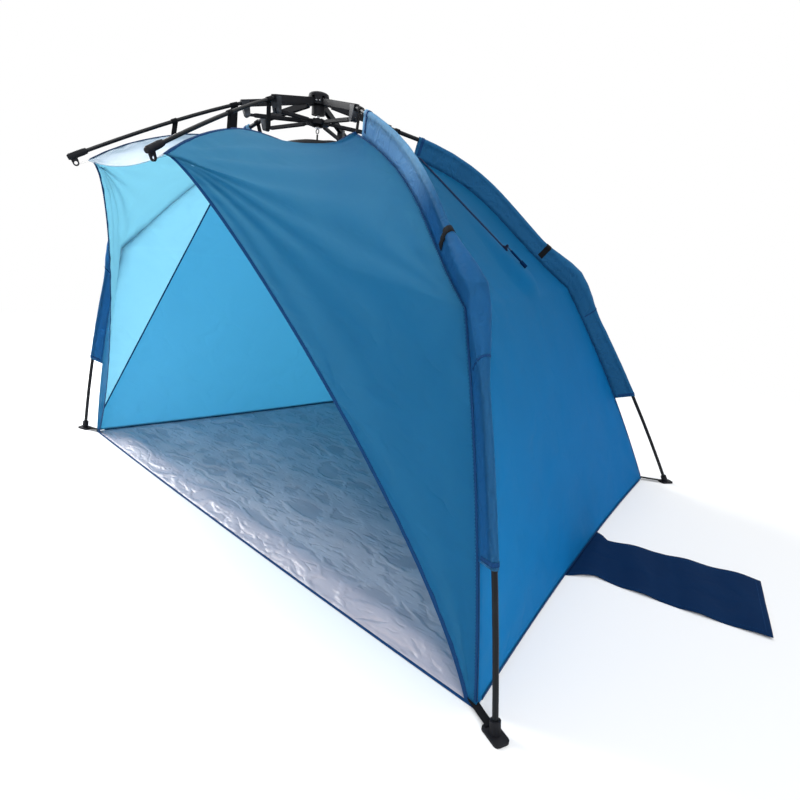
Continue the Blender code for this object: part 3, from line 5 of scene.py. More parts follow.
import bmesh
import bpy
from mathutils import Matrix, Vector, noise
from mathutils.bvhtree import BVHTree

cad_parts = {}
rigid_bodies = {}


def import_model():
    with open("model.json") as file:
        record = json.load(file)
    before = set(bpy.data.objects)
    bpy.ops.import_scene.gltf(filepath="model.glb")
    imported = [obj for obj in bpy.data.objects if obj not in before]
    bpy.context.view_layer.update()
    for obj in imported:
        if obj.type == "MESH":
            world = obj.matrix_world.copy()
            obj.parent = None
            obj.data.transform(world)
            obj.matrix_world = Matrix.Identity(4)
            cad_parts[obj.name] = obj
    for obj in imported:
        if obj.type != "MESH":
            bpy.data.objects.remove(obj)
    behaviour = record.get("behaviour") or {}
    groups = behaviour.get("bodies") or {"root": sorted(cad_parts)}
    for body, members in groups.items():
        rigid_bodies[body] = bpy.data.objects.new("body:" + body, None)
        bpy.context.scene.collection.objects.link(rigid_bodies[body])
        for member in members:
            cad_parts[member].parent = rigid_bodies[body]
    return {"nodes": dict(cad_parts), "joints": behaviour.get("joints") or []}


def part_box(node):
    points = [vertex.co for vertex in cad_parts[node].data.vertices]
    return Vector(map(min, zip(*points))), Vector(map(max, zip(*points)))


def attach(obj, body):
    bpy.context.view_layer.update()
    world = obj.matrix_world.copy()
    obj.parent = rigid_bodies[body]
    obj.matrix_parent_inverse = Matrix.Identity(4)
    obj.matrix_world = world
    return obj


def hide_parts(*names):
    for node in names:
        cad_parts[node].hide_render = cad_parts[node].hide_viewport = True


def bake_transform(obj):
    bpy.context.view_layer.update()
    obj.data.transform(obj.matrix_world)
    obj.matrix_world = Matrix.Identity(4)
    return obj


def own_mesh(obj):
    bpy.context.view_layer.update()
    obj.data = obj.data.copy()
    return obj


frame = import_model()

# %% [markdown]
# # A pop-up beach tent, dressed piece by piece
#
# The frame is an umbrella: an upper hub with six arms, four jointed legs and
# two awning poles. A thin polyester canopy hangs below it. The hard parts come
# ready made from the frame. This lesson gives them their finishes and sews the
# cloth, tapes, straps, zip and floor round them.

RIGHT, INWARD, UP = Vector((1.0, 0.0, 0.0)), Vector((0.0, 1.0, 0.0)), Vector((0.0, 0.0, 1.0))
SIDES = (("left", -1.0), ("right", 1.0))
KINDS = ("front", "rear")
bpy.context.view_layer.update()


def new_object(name, data):
    """Make an object and link it to the scene."""
    item = bpy.data.objects.new(name, data)
    bpy.context.scene.collection.objects.link(item)
    return item


# %% [markdown]
# ## Camera
#
# The picture was taken from close by with a wide lens, so the near foot looks
# large and the far wing small. The camera could be turned by hand until the
# outlines agree, but its place, its turn and its roll were solved from the feet,
# the hub and the corners of the floor, so they are written as numbers.

# %% Camera
CAMERA_PLACE = Vector((1.503, -1.201, 0.927))
CAMERA_AZIMUTH, CAMERA_DROP, CAMERA_ROLL = (math.radians(turn) for turn in (41.46, 15.85, 5.09))
CAMERA_LENS, SENSOR_WIDTH = 25.06, 36.0

level_right = Vector((math.cos(CAMERA_AZIMUTH), math.sin(CAMERA_AZIMUTH), 0.0))
look_back = Vector((math.sin(CAMERA_AZIMUTH) * math.cos(CAMERA_DROP),
                    -math.cos(CAMERA_AZIMUTH) * math.cos(CAMERA_DROP), math.sin(CAMERA_DROP)))
level_up = look_back.cross(level_right)
turned_right = level_right * math.cos(CAMERA_ROLL) + level_up * math.sin(CAMERA_ROLL)
turned_up = level_up * math.cos(CAMERA_ROLL) - level_right * math.sin(CAMERA_ROLL)
camera = new_object("camera", bpy.data.cameras.new("camera"))
camera.data.lens = CAMERA_LENS
camera.data.sensor_width = SENSOR_WIDTH
camera.matrix_world = (Matrix.Translation(CAMERA_PLACE)
                       @ Matrix((turned_right, turned_up, look_back)).transposed().to_4x4())
bpy.context.scene.camera = camera
bpy.context.scene.view_settings.view_transform = "Standard"
print("camera", [round(x, 3) for x in camera.location])

# %% [markdown]
# ## Node trees written as code
#
# Materials and geometry trees are long lists of nodes. Small helpers that add a
# node, set its values and link its inputs keep each recipe readable. Inputs are
# named or counted, and a link is given as a node's output socket.

# %% Helpers for nodes
def set_inputs(tree, item, inputs):
    """Set or link a node's inputs, by name or number."""
    for key, value in inputs.items():
        if isinstance(value, bpy.types.NodeSocket):
            tree.links.new(value, item.inputs[key])
        else:
            item.inputs[key].default_value = value
    return item


def add_node(tree, kind, inputs=None, **settings):
    """Add a node and set its properties and inputs."""
    item = tree.nodes.new(kind)
    for key, value in settings.items():
        setattr(item, key, value)
    return set_inputs(tree, item, inputs or {})


def math_node(tree, operation, *values):
    """Add a Math node and return its output."""
    return add_node(tree, "ShaderNodeMath", dict(enumerate(values)), operation=operation).outputs[0]


def vector_node(tree, operation, *values):
    """Add a Vector Math node and return its output."""
    return add_node(tree, "ShaderNodeVectorMath", dict(enumerate(values)), operation=operation).outputs[0]


def ramp(tree, value, start, end, low=0.0, high=1.0, curve="LINEAR"):
    """Turn a value that runs from start to end into one that runs from low to high."""
    inputs = {"Value": value, "From Min": start, "From Max": end, "To Min": low, "To Max": high}
    return add_node(tree, "ShaderNodeMapRange", inputs, interpolation_type=curve).outputs[0]


def mix_colours(tree, share, first, second):
    """Mix two colours and return the result."""
    return add_node(tree, "ShaderNodeMix", {"Factor": share, 6: first, 7: second}, data_type="RGBA").outputs[2]


def mix_shaders(tree, share, first, second):
    """Mix the outputs of two shader nodes and return the result."""
    return add_node(tree, "ShaderNodeMixShader", {0: share, 1: first.outputs[0], 2: second.outputs[0]}).outputs[0]


def new_group(name, inputs, outputs):
    """Make a shader group and return it with its input sockets and its end node.

    inputs gives each input's default, or None where it is a vector. outputs are names of numbers.
    """
    group = bpy.data.node_groups.new(name, "ShaderNodeTree")
    for label, default in inputs.items():
        kind = "NodeSocketVector" if default is None else "NodeSocketFloat"
        socket = group.interface.new_socket(label, in_out="INPUT", socket_type=kind)
        if default is not None:
            socket.default_value = default
    for label in outputs:
        group.interface.new_socket(label, in_out="OUTPUT", socket_type="NodeSocketFloat")
    return group, group.nodes.new("NodeGroupInput").outputs, group.nodes.new("NodeGroupOutput")


def new_material(name):
    """Make a node material and return it with its tree and shader."""
    material = bpy.data.materials.new(name)
    material.use_nodes = True
    return material, material.node_tree, material.node_tree.nodes["Principled BSDF"]


def linear(red, green, blue):
    """Turn a colour as seen on a screen, 0 to 255, into scene-linear values."""
    values = []
    for part in (red, green, blue):
        part /= 255.0
        values.append(part / 12.92 if part <= 0.04045 else ((part + 0.055) / 1.055) ** 2.4)
    return (*values, 1.0)


# %% [markdown]
# ## Floor and light
#
# The tent stands on a plain white studio floor. Large soft lamps give the even
# light of a cloudy day. One stands behind and to the left, because the far wing
# glows where the light comes through it. The background looks white, while a
# dimmer sky lights the cloth. Far from the tent the floor fades into that white.

# %% Stage and lamps
FLOOR_SPAN, FLOOR_DROP = 60.0, 0.0004
FLOOR_COLOUR, FLOOR_ROUGHNESS, FLOOR_SPECULAR = (0.86, 0.86, 0.86, 1.0), 0.9, 0.1
FADE_START, FADE_END = 1.9, 4.6
WHITE, SKY, SKY_STRENGTH = (1.0, 1.0, 1.0, 1.0), (0.94, 0.97, 1.0, 1.0), 0.62
LAMP_TARGET = Vector((0.0, 0.3, 0.6))
LAMPS = (
    # name, place, size, watts
    ("key", (4.4, -3.4, 4.4), 3.5, 230.0),
    ("glow", (-4.4, -1.0, 3.2), 3.0, 420.0),
    ("top", (0.2, 1.6, 6.0), 5.0, 130.0),
)

half = FLOOR_SPAN / 2.0
floor_mesh = bpy.data.meshes.new("studio_floor")
floor_mesh.from_pydata([(x, y, -FLOOR_DROP) for x, y in ((-half, -half), (half, -half), (half, half), (-half, half))],
                       [], [(0, 1, 2, 3)])
studio_floor = new_object("studio_floor", floor_mesh)

floor_look, tree, shader = new_material("studio_floor")
set_inputs(tree, shader, {"Base Color": FLOOR_COLOUR, "Roughness": FLOOR_ROUGHNESS,
                          "Specular IOR Level": FLOOR_SPECULAR})
spot = add_node(tree, "ShaderNodeTexCoord").outputs["Object"]
away = add_node(tree, "ShaderNodeVectorMath", {0: spot}, operation="LENGTH").outputs["Value"]
path = add_node(tree, "ShaderNodeLightPath").outputs
shown = math_node(tree, "MAXIMUM", path["Is Camera Ray"], path["Is Glossy Ray"])
share = math_node(tree, "MULTIPLY", ramp(tree, away, FADE_START, FADE_END, curve="SMOOTHSTEP"), shown)
blank = add_node(tree, "ShaderNodeEmission", {"Color": WHITE, "Strength": 1.0})
tree.links.new(mix_shaders(tree, share, shader, blank), tree.nodes["Material Output"].inputs["Surface"])
floor_mesh.materials.append(floor_look)

world = bpy.data.worlds.new("studio")
bpy.context.scene.world = world
world.use_nodes = True
tree = world.node_tree
tree.nodes.clear()
path = add_node(tree, "ShaderNodeLightPath").outputs
seen = math_node(tree, "MAXIMUM", path["Is Camera Ray"], path["Is Glossy Ray"])
seen = math_node(tree, "MAXIMUM", seen, path["Is Transmission Ray"])
sky = add_node(tree, "ShaderNodeBackground", {"Color": SKY, "Strength": SKY_STRENGTH})
white = add_node(tree, "ShaderNodeBackground", {"Color": WHITE, "Strength": 1.0})
add_node(tree, "ShaderNodeOutputWorld", {"Surface": mix_shaders(tree, seen, sky, white)})

for name, place, size, watts in LAMPS:
    lamp = new_object(name, bpy.data.lights.new(name, "AREA"))
    lamp.data.size = size
    lamp.data.energy = watts
    lamp.location = place
    lamp.rotation_euler = (LAMP_TARGET - Vector(place)).to_track_quat("-Z", "Y").to_euler()
print("lamps", len(LAMPS))

# %% [markdown]
# ## Finishes that several materials share
#
# Three effects come back on many pieces, so each is one shader group. A weave
# gives plain-woven cloth its threads. Creases give packed cloth its soft
# crossing folds, finer than the mesh can hold. Scuffs give moulded and painted
# parts their handling marks; on the brackets their lighter patches are also
# painted highlight. Each group only puts out heights and masks, and the
# material decides what these change. Cloth also takes the shading of the weave
# and the creases into its colour, which is painted shade in the dips between
# threads and in the crease valleys.

# %% Weave, creases and scuffs
RIB_SPACING, RIB_SHARPNESS = 9.0, 24.0
CREASE_BEND, CREASE_EDGE, CREASE_SHARE, CREASE_SHADING, SOFT_SCALE = 0.22, 0.32, 0.35, 0.75, 0.55
SCUFF_START, SCUFF_END, GRAIN_SCALE = 0.52, 0.74, 28.0

weave_group, ins, end = new_group("weave", {"Vector": None, "Thread": 0.0008, "Rib": 0.0}, ("Height", "Tone"))
tree = weave_group
turn = math_node(tree, "DIVIDE", math.pi, ins["Thread"])
rib_turn = math_node(tree, "DIVIDE", turn, RIB_SPACING)
threads, ribs = [], []
for axis in add_node(tree, "ShaderNodeSeparateXYZ", {0: ins["Vector"]}).outputs[:2]:
    threads.append(math_node(tree, "SINE", math_node(tree, "MULTIPLY", axis, turn)))
    rib = math_node(tree, "SINE", math_node(tree, "MULTIPLY", axis, rib_turn))
    ribs.append(math_node(tree, "POWER", math_node(tree, "ABSOLUTE", rib), RIB_SHARPNESS))
grid = math_node(tree, "MULTIPLY", math_node(tree, "MAXIMUM", *ribs), ins["Rib"])
height = math_node(tree, "MULTIPLY_ADD", math_node(tree, "MULTIPLY", *threads), 0.5, grid)
set_inputs(tree, end, {"Height": height, "Tone": math_node(tree, "MULTIPLY_ADD", height, 0.5, 0.5)})

crease_group, ins, end = new_group("creases", {"Vector": None, "Scale": 6.0}, ("Height", "Tone"))
tree = crease_group
drift = add_node(tree, "ShaderNodeTexNoise", {"Vector": ins["Vector"], "Scale": ins["Scale"], "Detail": 3.0})
bent = vector_node(tree, "SUBTRACT", drift.outputs["Color"], (0.5, 0.5, 0.5))
bent = vector_node(tree, "MULTIPLY_ADD", bent, (CREASE_BEND, CREASE_BEND, CREASE_BEND), ins["Vector"])
cells = add_node(tree, "ShaderNodeTexVoronoi", {"Vector": bent, "Scale": ins["Scale"]}, feature="DISTANCE_TO_EDGE")
ridge = ramp(tree, cells.outputs["Distance"], 0.0, CREASE_EDGE, 1.0, 0.0, "SMOOTHERSTEP")
soft_scale = math_node(tree, "MULTIPLY", ins["Scale"], SOFT_SCALE)
soft = add_node(tree, "ShaderNodeTexNoise", {"Vector": ins["Vector"], "Scale": soft_scale, "Detail": 2.0})
height = math_node(tree, "MULTIPLY_ADD", ridge, CREASE_SHARE, soft.outputs[0])
set_inputs(tree, end, {"Height": height, "Tone": math_node(tree, "MULTIPLY", height, CREASE_SHADING)})

scuff_group, ins, end = new_group("scuffs", {"Scale": 40.0, "Amount": 0.3}, ("Mask", "Height"))
tree = scuff_group
spot = add_node(tree, "ShaderNodeTexCoord").outputs["Object"]
wide = add_node(tree, "ShaderNodeTexNoise", {"Vector": spot, "Scale": ins["Scale"], "Detail": 5.0})
fine_scale = math_node(tree, "MULTIPLY", ins["Scale"], GRAIN_SCALE)
fine = add_node(tree, "ShaderNodeTexNoise", {"Vector": spot, "Scale": fine_scale, "Detail": 2.0})
mask = ramp(tree, wide.outputs[0], SCUFF_START, SCUFF_END)
set_inputs(tree, end, {"Mask": math_node(tree, "MULTIPLY", mask, ins["Amount"]), "Height": fine.outputs[0]})
print("shared finishes", [group.name for group in bpy.data.node_groups])

# %% [markdown]
# ## Cloth, webbing, plastic and steel
#
# Every material starts from the same Principled shader. Cloth reads the piece's
# own UV map, which is laid out in metres, so threads keep their size on every
# panel. Cloth also lets some light through: a Translucent shader takes a share of the
# mix. The side seen from inside is given a paler colour, which is painted light for
# the daylight that comes through it.
# Colours are given as a screen shows them, and glows as scene values.

# %% Cloth recipe
THREAD_SHADING, THREAD_BUMP, THREAD_DEPTH, FOLD_BUMP = 0.12, 0.35, 0.25, 0.8


def cloth_material(name, colour, shade, roughness=0.6, thread=0.0008, rib=0.0, crease=0.010, crease_scale=6.0,
                   through=0.0, glow=None, crease_shading=0.4, specular=0.09, painted_light=None, painted_light_run=(0.28, 0.50), pieced=None,
                   stretch=1.0):
    """Make woven cloth with creases.

    through is the share of light that it lets pass and glow the colour of that light. painted_light is a colour that
    is painted on at the start of the cloth's length, and painted_light_run is where it ends: painted shade where it
    is darker, painted highlight where it is lighter. colour and shade are mixed by the creases and threads, so shade
    is painted shade in their hollows. stretch below one draws the creases out across the cloth. pieced is the
    colour, shade and glow of a second cloth, which is sewn on where the attribute "strip" is above zero.
    """
    material, tree, shader = new_material(name)
    uv = add_node(tree, "ShaderNodeUVMap", uv_map="cloth").outputs[0]
    threads = add_node(tree, "ShaderNodeGroup", {"Vector": uv, "Thread": thread, "Rib": rib},
                       node_tree=weave_group).outputs
    drawn = vector_node(tree, "MULTIPLY", uv, (stretch, 1.0, 1.0))
    folds = add_node(tree, "ShaderNodeGroup", {"Vector": drawn, "Scale": crease_scale}, node_tree=crease_group).outputs
    # Painted shade: the colour is mixed towards the darker shade colour in the crease valleys and in the dips between
    # threads.
    light_share = math_node(tree, "MULTIPLY", folds["Tone"], crease_shading)
    light_share = math_node(tree, "MULTIPLY_ADD", threads["Tone"], THREAD_SHADING, light_share)
    dye_and_shading = mix_colours(tree, light_share, linear(*shade), linear(*colour))
    # Painted light: towards the start of the cloth's length its colour fades to another one, darker where it paints
    # shade and lighter where it paints a highlight.
    if painted_light:
        down = add_node(tree, "ShaderNodeSeparateXYZ", {0: uv}).outputs[1]
        dye_and_shading = mix_colours(tree, ramp(tree, down, *painted_light_run, 1.0, 0.0, "SMOOTHSTEP"), dye_and_shading, linear(*painted_light))
    if pieced:
        strip = add_node(tree, "ShaderNodeAttribute", attribute_name="strip").outputs["Fac"]
        strip = math_node(tree, "GREATER_THAN", strip, 0.0)
        strip_colour, strip_shade, strip_glow = pieced
        shown = mix_colours(tree, light_share, linear(*strip_shade), linear(*strip_colour))
        dye_and_shading = mix_colours(tree, strip, dye_and_shading, shown)
        glow = mix_colours(tree, strip, glow, strip_glow)
    normal = add_node(tree, "ShaderNodeBump", {"Height": threads["Height"], "Strength": THREAD_BUMP,
                                               "Distance": thread * THREAD_DEPTH}).outputs[0]
    normal = add_node(tree, "ShaderNodeBump", {"Height": folds["Height"], "Strength": FOLD_BUMP, "Distance": crease,
                                               "Normal": normal}).outputs[0]
    set_inputs(tree, shader, {"Base Color": dye_and_shading, "Normal": normal, "Roughness": roughness,
                              "Specular IOR Level": specular})
    if through:
        lit = add_node(tree, "ShaderNodeBsdfTranslucent", {"Color": glow or dye_and_shading, "Normal": normal})
        tree.links.new(mix_shaders(tree, through, shader, lit), tree.nodes["Material Output"].inputs["Surface"])
    return material


WING_GLOW, SIDE_GLOW, STRIP_GLOW = (0.42, 0.90, 1.0, 1.0), (0.14, 0.54, 0.78, 1.0), (0.60, 0.88, 0.98, 1.0)
WING_LIT, SIDE_LIT, STRIP_LIT = (0.68, 0.89, 1.0, 1.0), (0.40, 0.74, 0.84, 1.0), (0.50, 0.88, 1.0, 1.0)
SLEEVE_GLOW = (0.45, 0.78, 1.0, 1.0)
# The second pair on each line is the inside colour, paler than the outside: painted light for the daylight that comes
# through the cloth.
WING_DYE_AND_SHADE, WING_INSIDE_PAINTED_LIGHT = ((24, 82, 128), (16, 68, 110)), ((176, 242, 254), (150, 226, 250))
SIDE_DYE_AND_SHADE, SIDE_INSIDE_PAINTED_LIGHT = ((12, 122, 190), (8, 104, 166)), ((128, 190, 216), (104, 170, 204))
WALL = {"crease": 0.006}
# Painted shade: the wing's outside is painted darker towards its top.
WING_OUT = cloth_material("wing cloth", *WING_DYE_AND_SHADE, **WALL, through=0.33, glow=WING_GLOW, specular=0.05,
                          painted_light=(2, 42, 88), painted_light_run=(0.05, 0.75))
WING_IN = cloth_material("wing cloth inside", *WING_INSIDE_PAINTED_LIGHT, **WALL, through=0.78, glow=WING_LIT)
# Painted shade: the side wall's outside is painted darker towards its top.
SIDE_OUT = cloth_material("side cloth", *SIDE_DYE_AND_SHADE, **WALL, through=0.38, glow=SIDE_GLOW, specular=0.04,
                          painted_light=(4, 68, 100), painted_light_run=(0.40, 1.60))
SIDE_IN = cloth_material("side cloth inside", *SIDE_INSIDE_PAINTED_LIGHT, **WALL, through=0.5, glow=SIDE_LIT)
PIECED_OUT = cloth_material("pieced cloth", *SIDE_DYE_AND_SHADE, **WALL, through=0.42, glow=SIDE_GLOW,
                            pieced=(*WING_DYE_AND_SHADE, STRIP_GLOW))
PIECED_IN = cloth_material("pieced cloth inside", *SIDE_INSIDE_PAINTED_LIGHT, **WALL, through=0.6, glow=SIDE_LIT,
                           pieced=(*WING_INSIDE_PAINTED_LIGHT, STRIP_LIT))
ROOF_OUT = cloth_material("roof cloth", (146, 170, 188), (130, 156, 176), roughness=0.5, crease=0.005, through=0.2)
# Painted light: the roof's inside colour is paler than its outside, for the daylight that comes through it.
ROOF_IN = cloth_material("roof cloth inside", (180, 204, 224), (160, 186, 210), crease=0.005, through=0.2)
SLEEVE = {"crease": 0.004, "crease_scale": 16.0}
# Painted light: the front sleeves are painted paler towards their top.
FRONT_SLEEVE = cloth_material("front sleeve cloth", (32, 94, 140), (22, 74, 114), **SLEEVE, through=0.58,
                              glow=SLEEVE_GLOW, painted_light=(124, 164, 190))
REAR_SLEEVE = cloth_material("rear sleeve cloth", (28, 94, 142), (20, 74, 112), **SLEEVE)
TAPE = cloth_material("edge tape", (18, 70, 120), (12, 50, 92), thread=0.0012, crease=0.002, crease_scale=30.0)
FLAP = cloth_material("flap cloth", (2, 42, 80), (1, 30, 64), roughness=0.8, crease=0.005, specular=0.06)
# Painted highlight: the floor sheet is painted paler in a band along its front edge.
SHEETING = cloth_material("floor sheeting", (196, 196, 206), (104, 110, 126), roughness=0.30, thread=0.0022, rib=0.35,
                          crease=0.011, crease_scale=11.0, crease_shading=0.8, specular=0.5, stretch=0.5, painted_light=(164, 161, 173),
                          painted_light_run=(0.06, 0.14))
WEBBING = cloth_material("black webbing", (24, 26, 30), (10, 11, 14), roughness=0.75, thread=0.0016, crease=0.001,
                         crease_scale=60.0)

# %% Hard finishes
HARD_SPECULAR, GRAIN_BUMP, GRAIN_DEPTH = 0.16, 0.5, 0.00008


def hard_material(name, colour, wear_and_highlight, roughness, worn_roughness, metallic=0.0, scale=40.0, amount=0.35):
    """Make moulded plastic or metal with scuffs and a fine grain."""
    material, tree, shader = new_material(name)
    marks = add_node(tree, "ShaderNodeGroup", {"Scale": scale, "Amount": amount}, node_tree=scuff_group).outputs
    bump = add_node(tree, "ShaderNodeBump", {"Height": marks["Height"], "Strength": GRAIN_BUMP,
                                             "Distance": GRAIN_DEPTH}).outputs[0]
    set_inputs(tree, shader, {"Base Color": mix_colours(tree, marks["Mask"], linear(*colour), linear(*wear_and_highlight)),
                              "Roughness": ramp(tree, marks["Mask"], 0.0, 1.0, roughness, worn_roughness),
                              "Normal": bump, "Metallic": metallic, "Specular IOR Level": HARD_SPECULAR})
    return material


MOULDED = hard_material("moulded black nylon", (16, 17, 22), (40, 42, 48), 0.62, 0.74)
POLE = hard_material("black fibreglass", (12, 15, 19), (32, 37, 42), 0.42, 0.58, scale=18.0)
STEEL = hard_material("bare steel", (176, 178, 182), (120, 122, 126), 0.28, 0.5, metallic=1.0)
ZIP = hard_material("zip plastic", (8, 20, 46), (16, 32, 62), 0.6, 0.7)
THREAD = hard_material("sewing thread", (16, 66, 116), (28, 88, 140), 0.7, 0.8, scale=90.0)
# Partly painted highlight: the lighter grey scuff patches on the brackets stand in for grey highlights as well as wear.
BRACKET = hard_material("grey nylon", (38, 41, 46), (92, 96, 102), 0.5, 0.6, amount=0.6)

NODE_LOOKS = {"hub_wire": STEEL, "centre_pin": STEEL, "zip_slider": ZIP, "zip_pull": ZIP}
NODE_LOOKS.update({f"bracket_{kind}_{label}": BRACKET for kind in (*KINDS, "awning") for label, _ in SIDES})
for name, item in frame["nodes"].items():
    look = NODE_LOOKS.get(name, POLE if "pole_" in name else MOULDED)
    for slot in item.material_slots:
        slot.material = look
print("materials", len(bpy.data.materials))

# %% [markdown]
# ## The lines of the poles and seams
#
# Cloth in a tent is cut between seams, so the seams come first. Each leg pole is
# a curve from its arm end to its elbow and on to its foot, and the seam runs a
# few centimetres inside it. These are the same lines as in the hard model, with
# the same numbers, so that each panel lies where its solid lies.

# %% Seam lines
HUB_PIN = (0.026, 1.315)
ARM_LENGTH, ARM_DROP = 0.213, math.radians(11.5)
AZIMUTHS = {"awning": math.radians(20.2), "front": math.radians(78.0), "rear": math.radians(150.0)}
FEET = {"front": (1.100, -0.371), "rear": (0.876, 1.336)}
CORNERS = {"front": (1.035, -0.345), "rear": (0.790, 1.275)}
KNEES = {"front": (0.680, 0.850), "rear": (0.752, 0.853)}
BENDS = {"front": (math.radians(20.0), 0.400, math.radians(34.0), 0.250),
         "rear": (math.radians(9.6), 0.402, math.radians(32.9), 0.405)}
BOWS = {"front": 0.022, "rear": 0.020}
ARM_ROWS, KNEE_ROW, LAST_ROW, ROOF_ROWS = 2, 7, 13, 5
CROWN_RADIUS, CROWN_Z = 0.020, 1.211
ARM_SEAM_DROP, KNEE_SEAM_DROP = 0.062, 0.050
ROOF_SEAM = ((CROWN_RADIUS, CROWN_Z), (0.250, 1.190), (0.460, 1.182), (0.632, 1.066))
HEM_INSET, HEM_START_PULL, HEM_END_PULL = 0.030, (0.015, 0.072, -0.012), (-0.163, 0.020, 0.328)
CORNER_Z, CLOTH = 0.0029, 0.0006
HEART_Y = (CORNERS["front"][1] + CORNERS["rear"][1]) / 2.0
WING_SAG, SIDE_SAG, REAR_SAG, ROOF_SAG = 0.014, 0.018, 0.020, 0.018


def radial(azimuth):
    """Return the level direction at a turn from the front."""
    return Vector((math.sin(azimuth), -math.cos(azimuth), 0.0))


def tangential(azimuth):
    """Return the level direction square to that."""
    return Vector((math.cos(azimuth), math.sin(azimuth), 0.0))


def dropped(level, drop):
    """Tip a level direction down by an angle."""
    return level * math.cos(drop) - UP * math.sin(drop)


def facing(vector, way):
    """Return a vector or its opposite, whichever points more along a way."""
    return vector if vector.dot(way) > 0.0 else -vector


def outside(place, rise=0.0):
    """Return the way from the middle of the floor to a place, with a given rise."""
    return Vector((place.x, place.y - HEART_Y, rise))


def bezier(points, share):
    """Return a point on a Bezier curve."""
    points = list(points)
    while len(points) > 1:
        points = [first.lerp(second, share) for first, second in zip(points, points[1:])]
    return points[0]


class Leg:
    """The pole line and the seam line of one leg."""

    def __init__(self, kind, sign):
        self.kind = kind
        azimuth = sign * AZIMUTHS[kind]
        self.hub = radial(azimuth) * HUB_PIN[0] + UP * HUB_PIN[1]
        self.arm_end = self.hub + dropped(radial(azimuth), ARM_DROP) * ARM_LENGTH
        self.crown = radial(azimuth) * CROWN_RADIUS + UP * CROWN_Z
        self.foot = Vector((sign * FEET[kind][0], FEET[kind][1], 0.0))
        self.corner = Vector((sign * CORNERS[kind][0], CORNERS[kind][1], CORNER_Z))
        level = self.foot - self.arm_end
        turn = math.atan2(level.x, -level.y)
        self.out, self.side = radial(turn), tangential(turn)
        reach, knee_z = KNEES[kind]
        self.knee = self.arm_end + self.out * reach
        self.knee.z = knee_z
        start_drop, start_pull, end_drop, end_pull = BENDS[kind]
        self.upper = (self.arm_end, self.arm_end + dropped(radial(azimuth), start_drop) * start_pull,
                      self.knee - dropped(self.out, end_drop) * end_pull, self.knee)
        self.normal = facing((self.foot - self.knee).cross(self.side).normalized(), self.out)
        self.lower = (self.knee, self.knee.lerp(self.foot, 0.5) + self.normal * (2.0 * BOWS[kind]), self.foot)

    def pole(self, row):
        """Return the pole's centre at a row."""
        if row <= ARM_ROWS:
            return self.hub.lerp(self.arm_end, row / ARM_ROWS)
        if row <= KNEE_ROW:
            return bezier(self.upper, (row - ARM_ROWS) / (KNEE_ROW - ARM_ROWS))
        return bezier(self.lower, (row - KNEE_ROW) / (LAST_ROW - KNEE_ROW))

    def along(self, row):
        """Return the pole's direction at a row."""
        step = 0.05
        return (self.pole(min(row + step, LAST_ROW)) - self.pole(max(row - step, ARM_ROWS))).normalized()

    def inward(self, row):
        """Return the direction from the pole to the inside of the tent."""
        return facing(self.along(row).cross(self.side).normalized(), -UP)

    def seam(self, row):
        """Return the seam at a row, as a smooth line."""
        if row <= ARM_ROWS:
            return self.crown.lerp(self.arm_end - UP * ARM_SEAM_DROP, row / ARM_ROWS)
        if row < KNEE_ROW:
            share = (row - ARM_ROWS) / (KNEE_ROW - ARM_ROWS)
            return self.pole(row) + self.inward(row) * (ARM_SEAM_DROP + (KNEE_SEAM_DROP - ARM_SEAM_DROP) * share)
        share = (row - KNEE_ROW) / (LAST_ROW - KNEE_ROW)
        start = self.knee + self.inward(KNEE_ROW - 0.1) * KNEE_SEAM_DROP
        return start.lerp(self.corner, share) + self.normal * (4.0 * share * (1.0 - share) * BOWS[self.kind])


LEGS = {f"{kind}_{label}": Leg(kind, sign) for kind in KINDS for label, sign in SIDES}


def roof_seam(sign, row):
    """Return the seam between the awning roof and a wing."""
    out = radial(sign * AZIMUTHS["awning"])
    return bezier([out * reach + UP * z for reach, z in ROOF_SEAM], row / ROOF_ROWS)


def wing_edge(sign, row):
    """Return a wing's front boundary: the roof seam, then the free hem."""
    if row <= ROOF_ROWS:
        return roof_seam(sign, row)
    start = roof_seam(sign, ROOF_ROWS)
    end = Vector((sign * (CORNERS["front"][0] - HEM_INSET), CORNERS["front"][1], CORNER_Z))
    pulls = [place + Vector((sign * x, y, z)) for place, (x, y, z) in ((start, HEM_START_PULL), (end, HEM_END_PULL))]
    return bezier((start, *pulls, end), (row - ROOF_ROWS) / (LAST_ROW - ROOF_ROWS))


print("legs", {name: [round(x, 3) for x in leg.knee] for name, leg in LEGS.items()})

# %% [markdown]
# ## A loom for panels
#
# A panel is a fine grid of points between two seams, drawn in a little in the
# middle, as stretched cloth is. Its folds are moves along the surface normal:
# fans that start at a corner under load, slow waves in between, and small
# puckers beside the seams. The edge stays where the seam is. Solidify then gives
# the cloth its two faces, and its inner face takes the second material.

# %% Panels
PANEL_ROWS, PANEL_COLUMNS = 130, 56
EDGE_FADE, FAN_START, SEAM_GAP = 0.05, 0.12, 0.00045
CROWN_HANG, CROWN_HOLLOW, CROWN_LIP, CROWN_EASE = 0.016, 0.015, 0.150, 0.82
PUCKER_HEIGHT, PUCKER_STEP, PUCKER_RISE, PUCKER_REACH, PUCKER_SEED = 0.0045, 0.030, 0.020, 0.120, 17.0
PUCKER_ROWS = 6.0


def smooth(value):
    """Ease a value from 0 to 1."""
    value = min(max(value, 0.0), 1.0)
    return value * value * (3.0 - 2.0 * value)


def grid_normals(grid):
    """Return the normal at each point of a grid."""
    last_i, last_j = len(grid) - 1, len(grid[0]) - 1
    normals = []
    for i in range(last_i + 1):
        line = []
        for j in range(last_j + 1):
            down = grid[min(i + 1, last_i)][j] - grid[max(i - 1, 0)][j]
            over = grid[i][min(j + 1, last_j)] - grid[i][max(j - 1, 0)]
            line.append(down.cross(over).normalized())
        normals.append(line)
    return normals


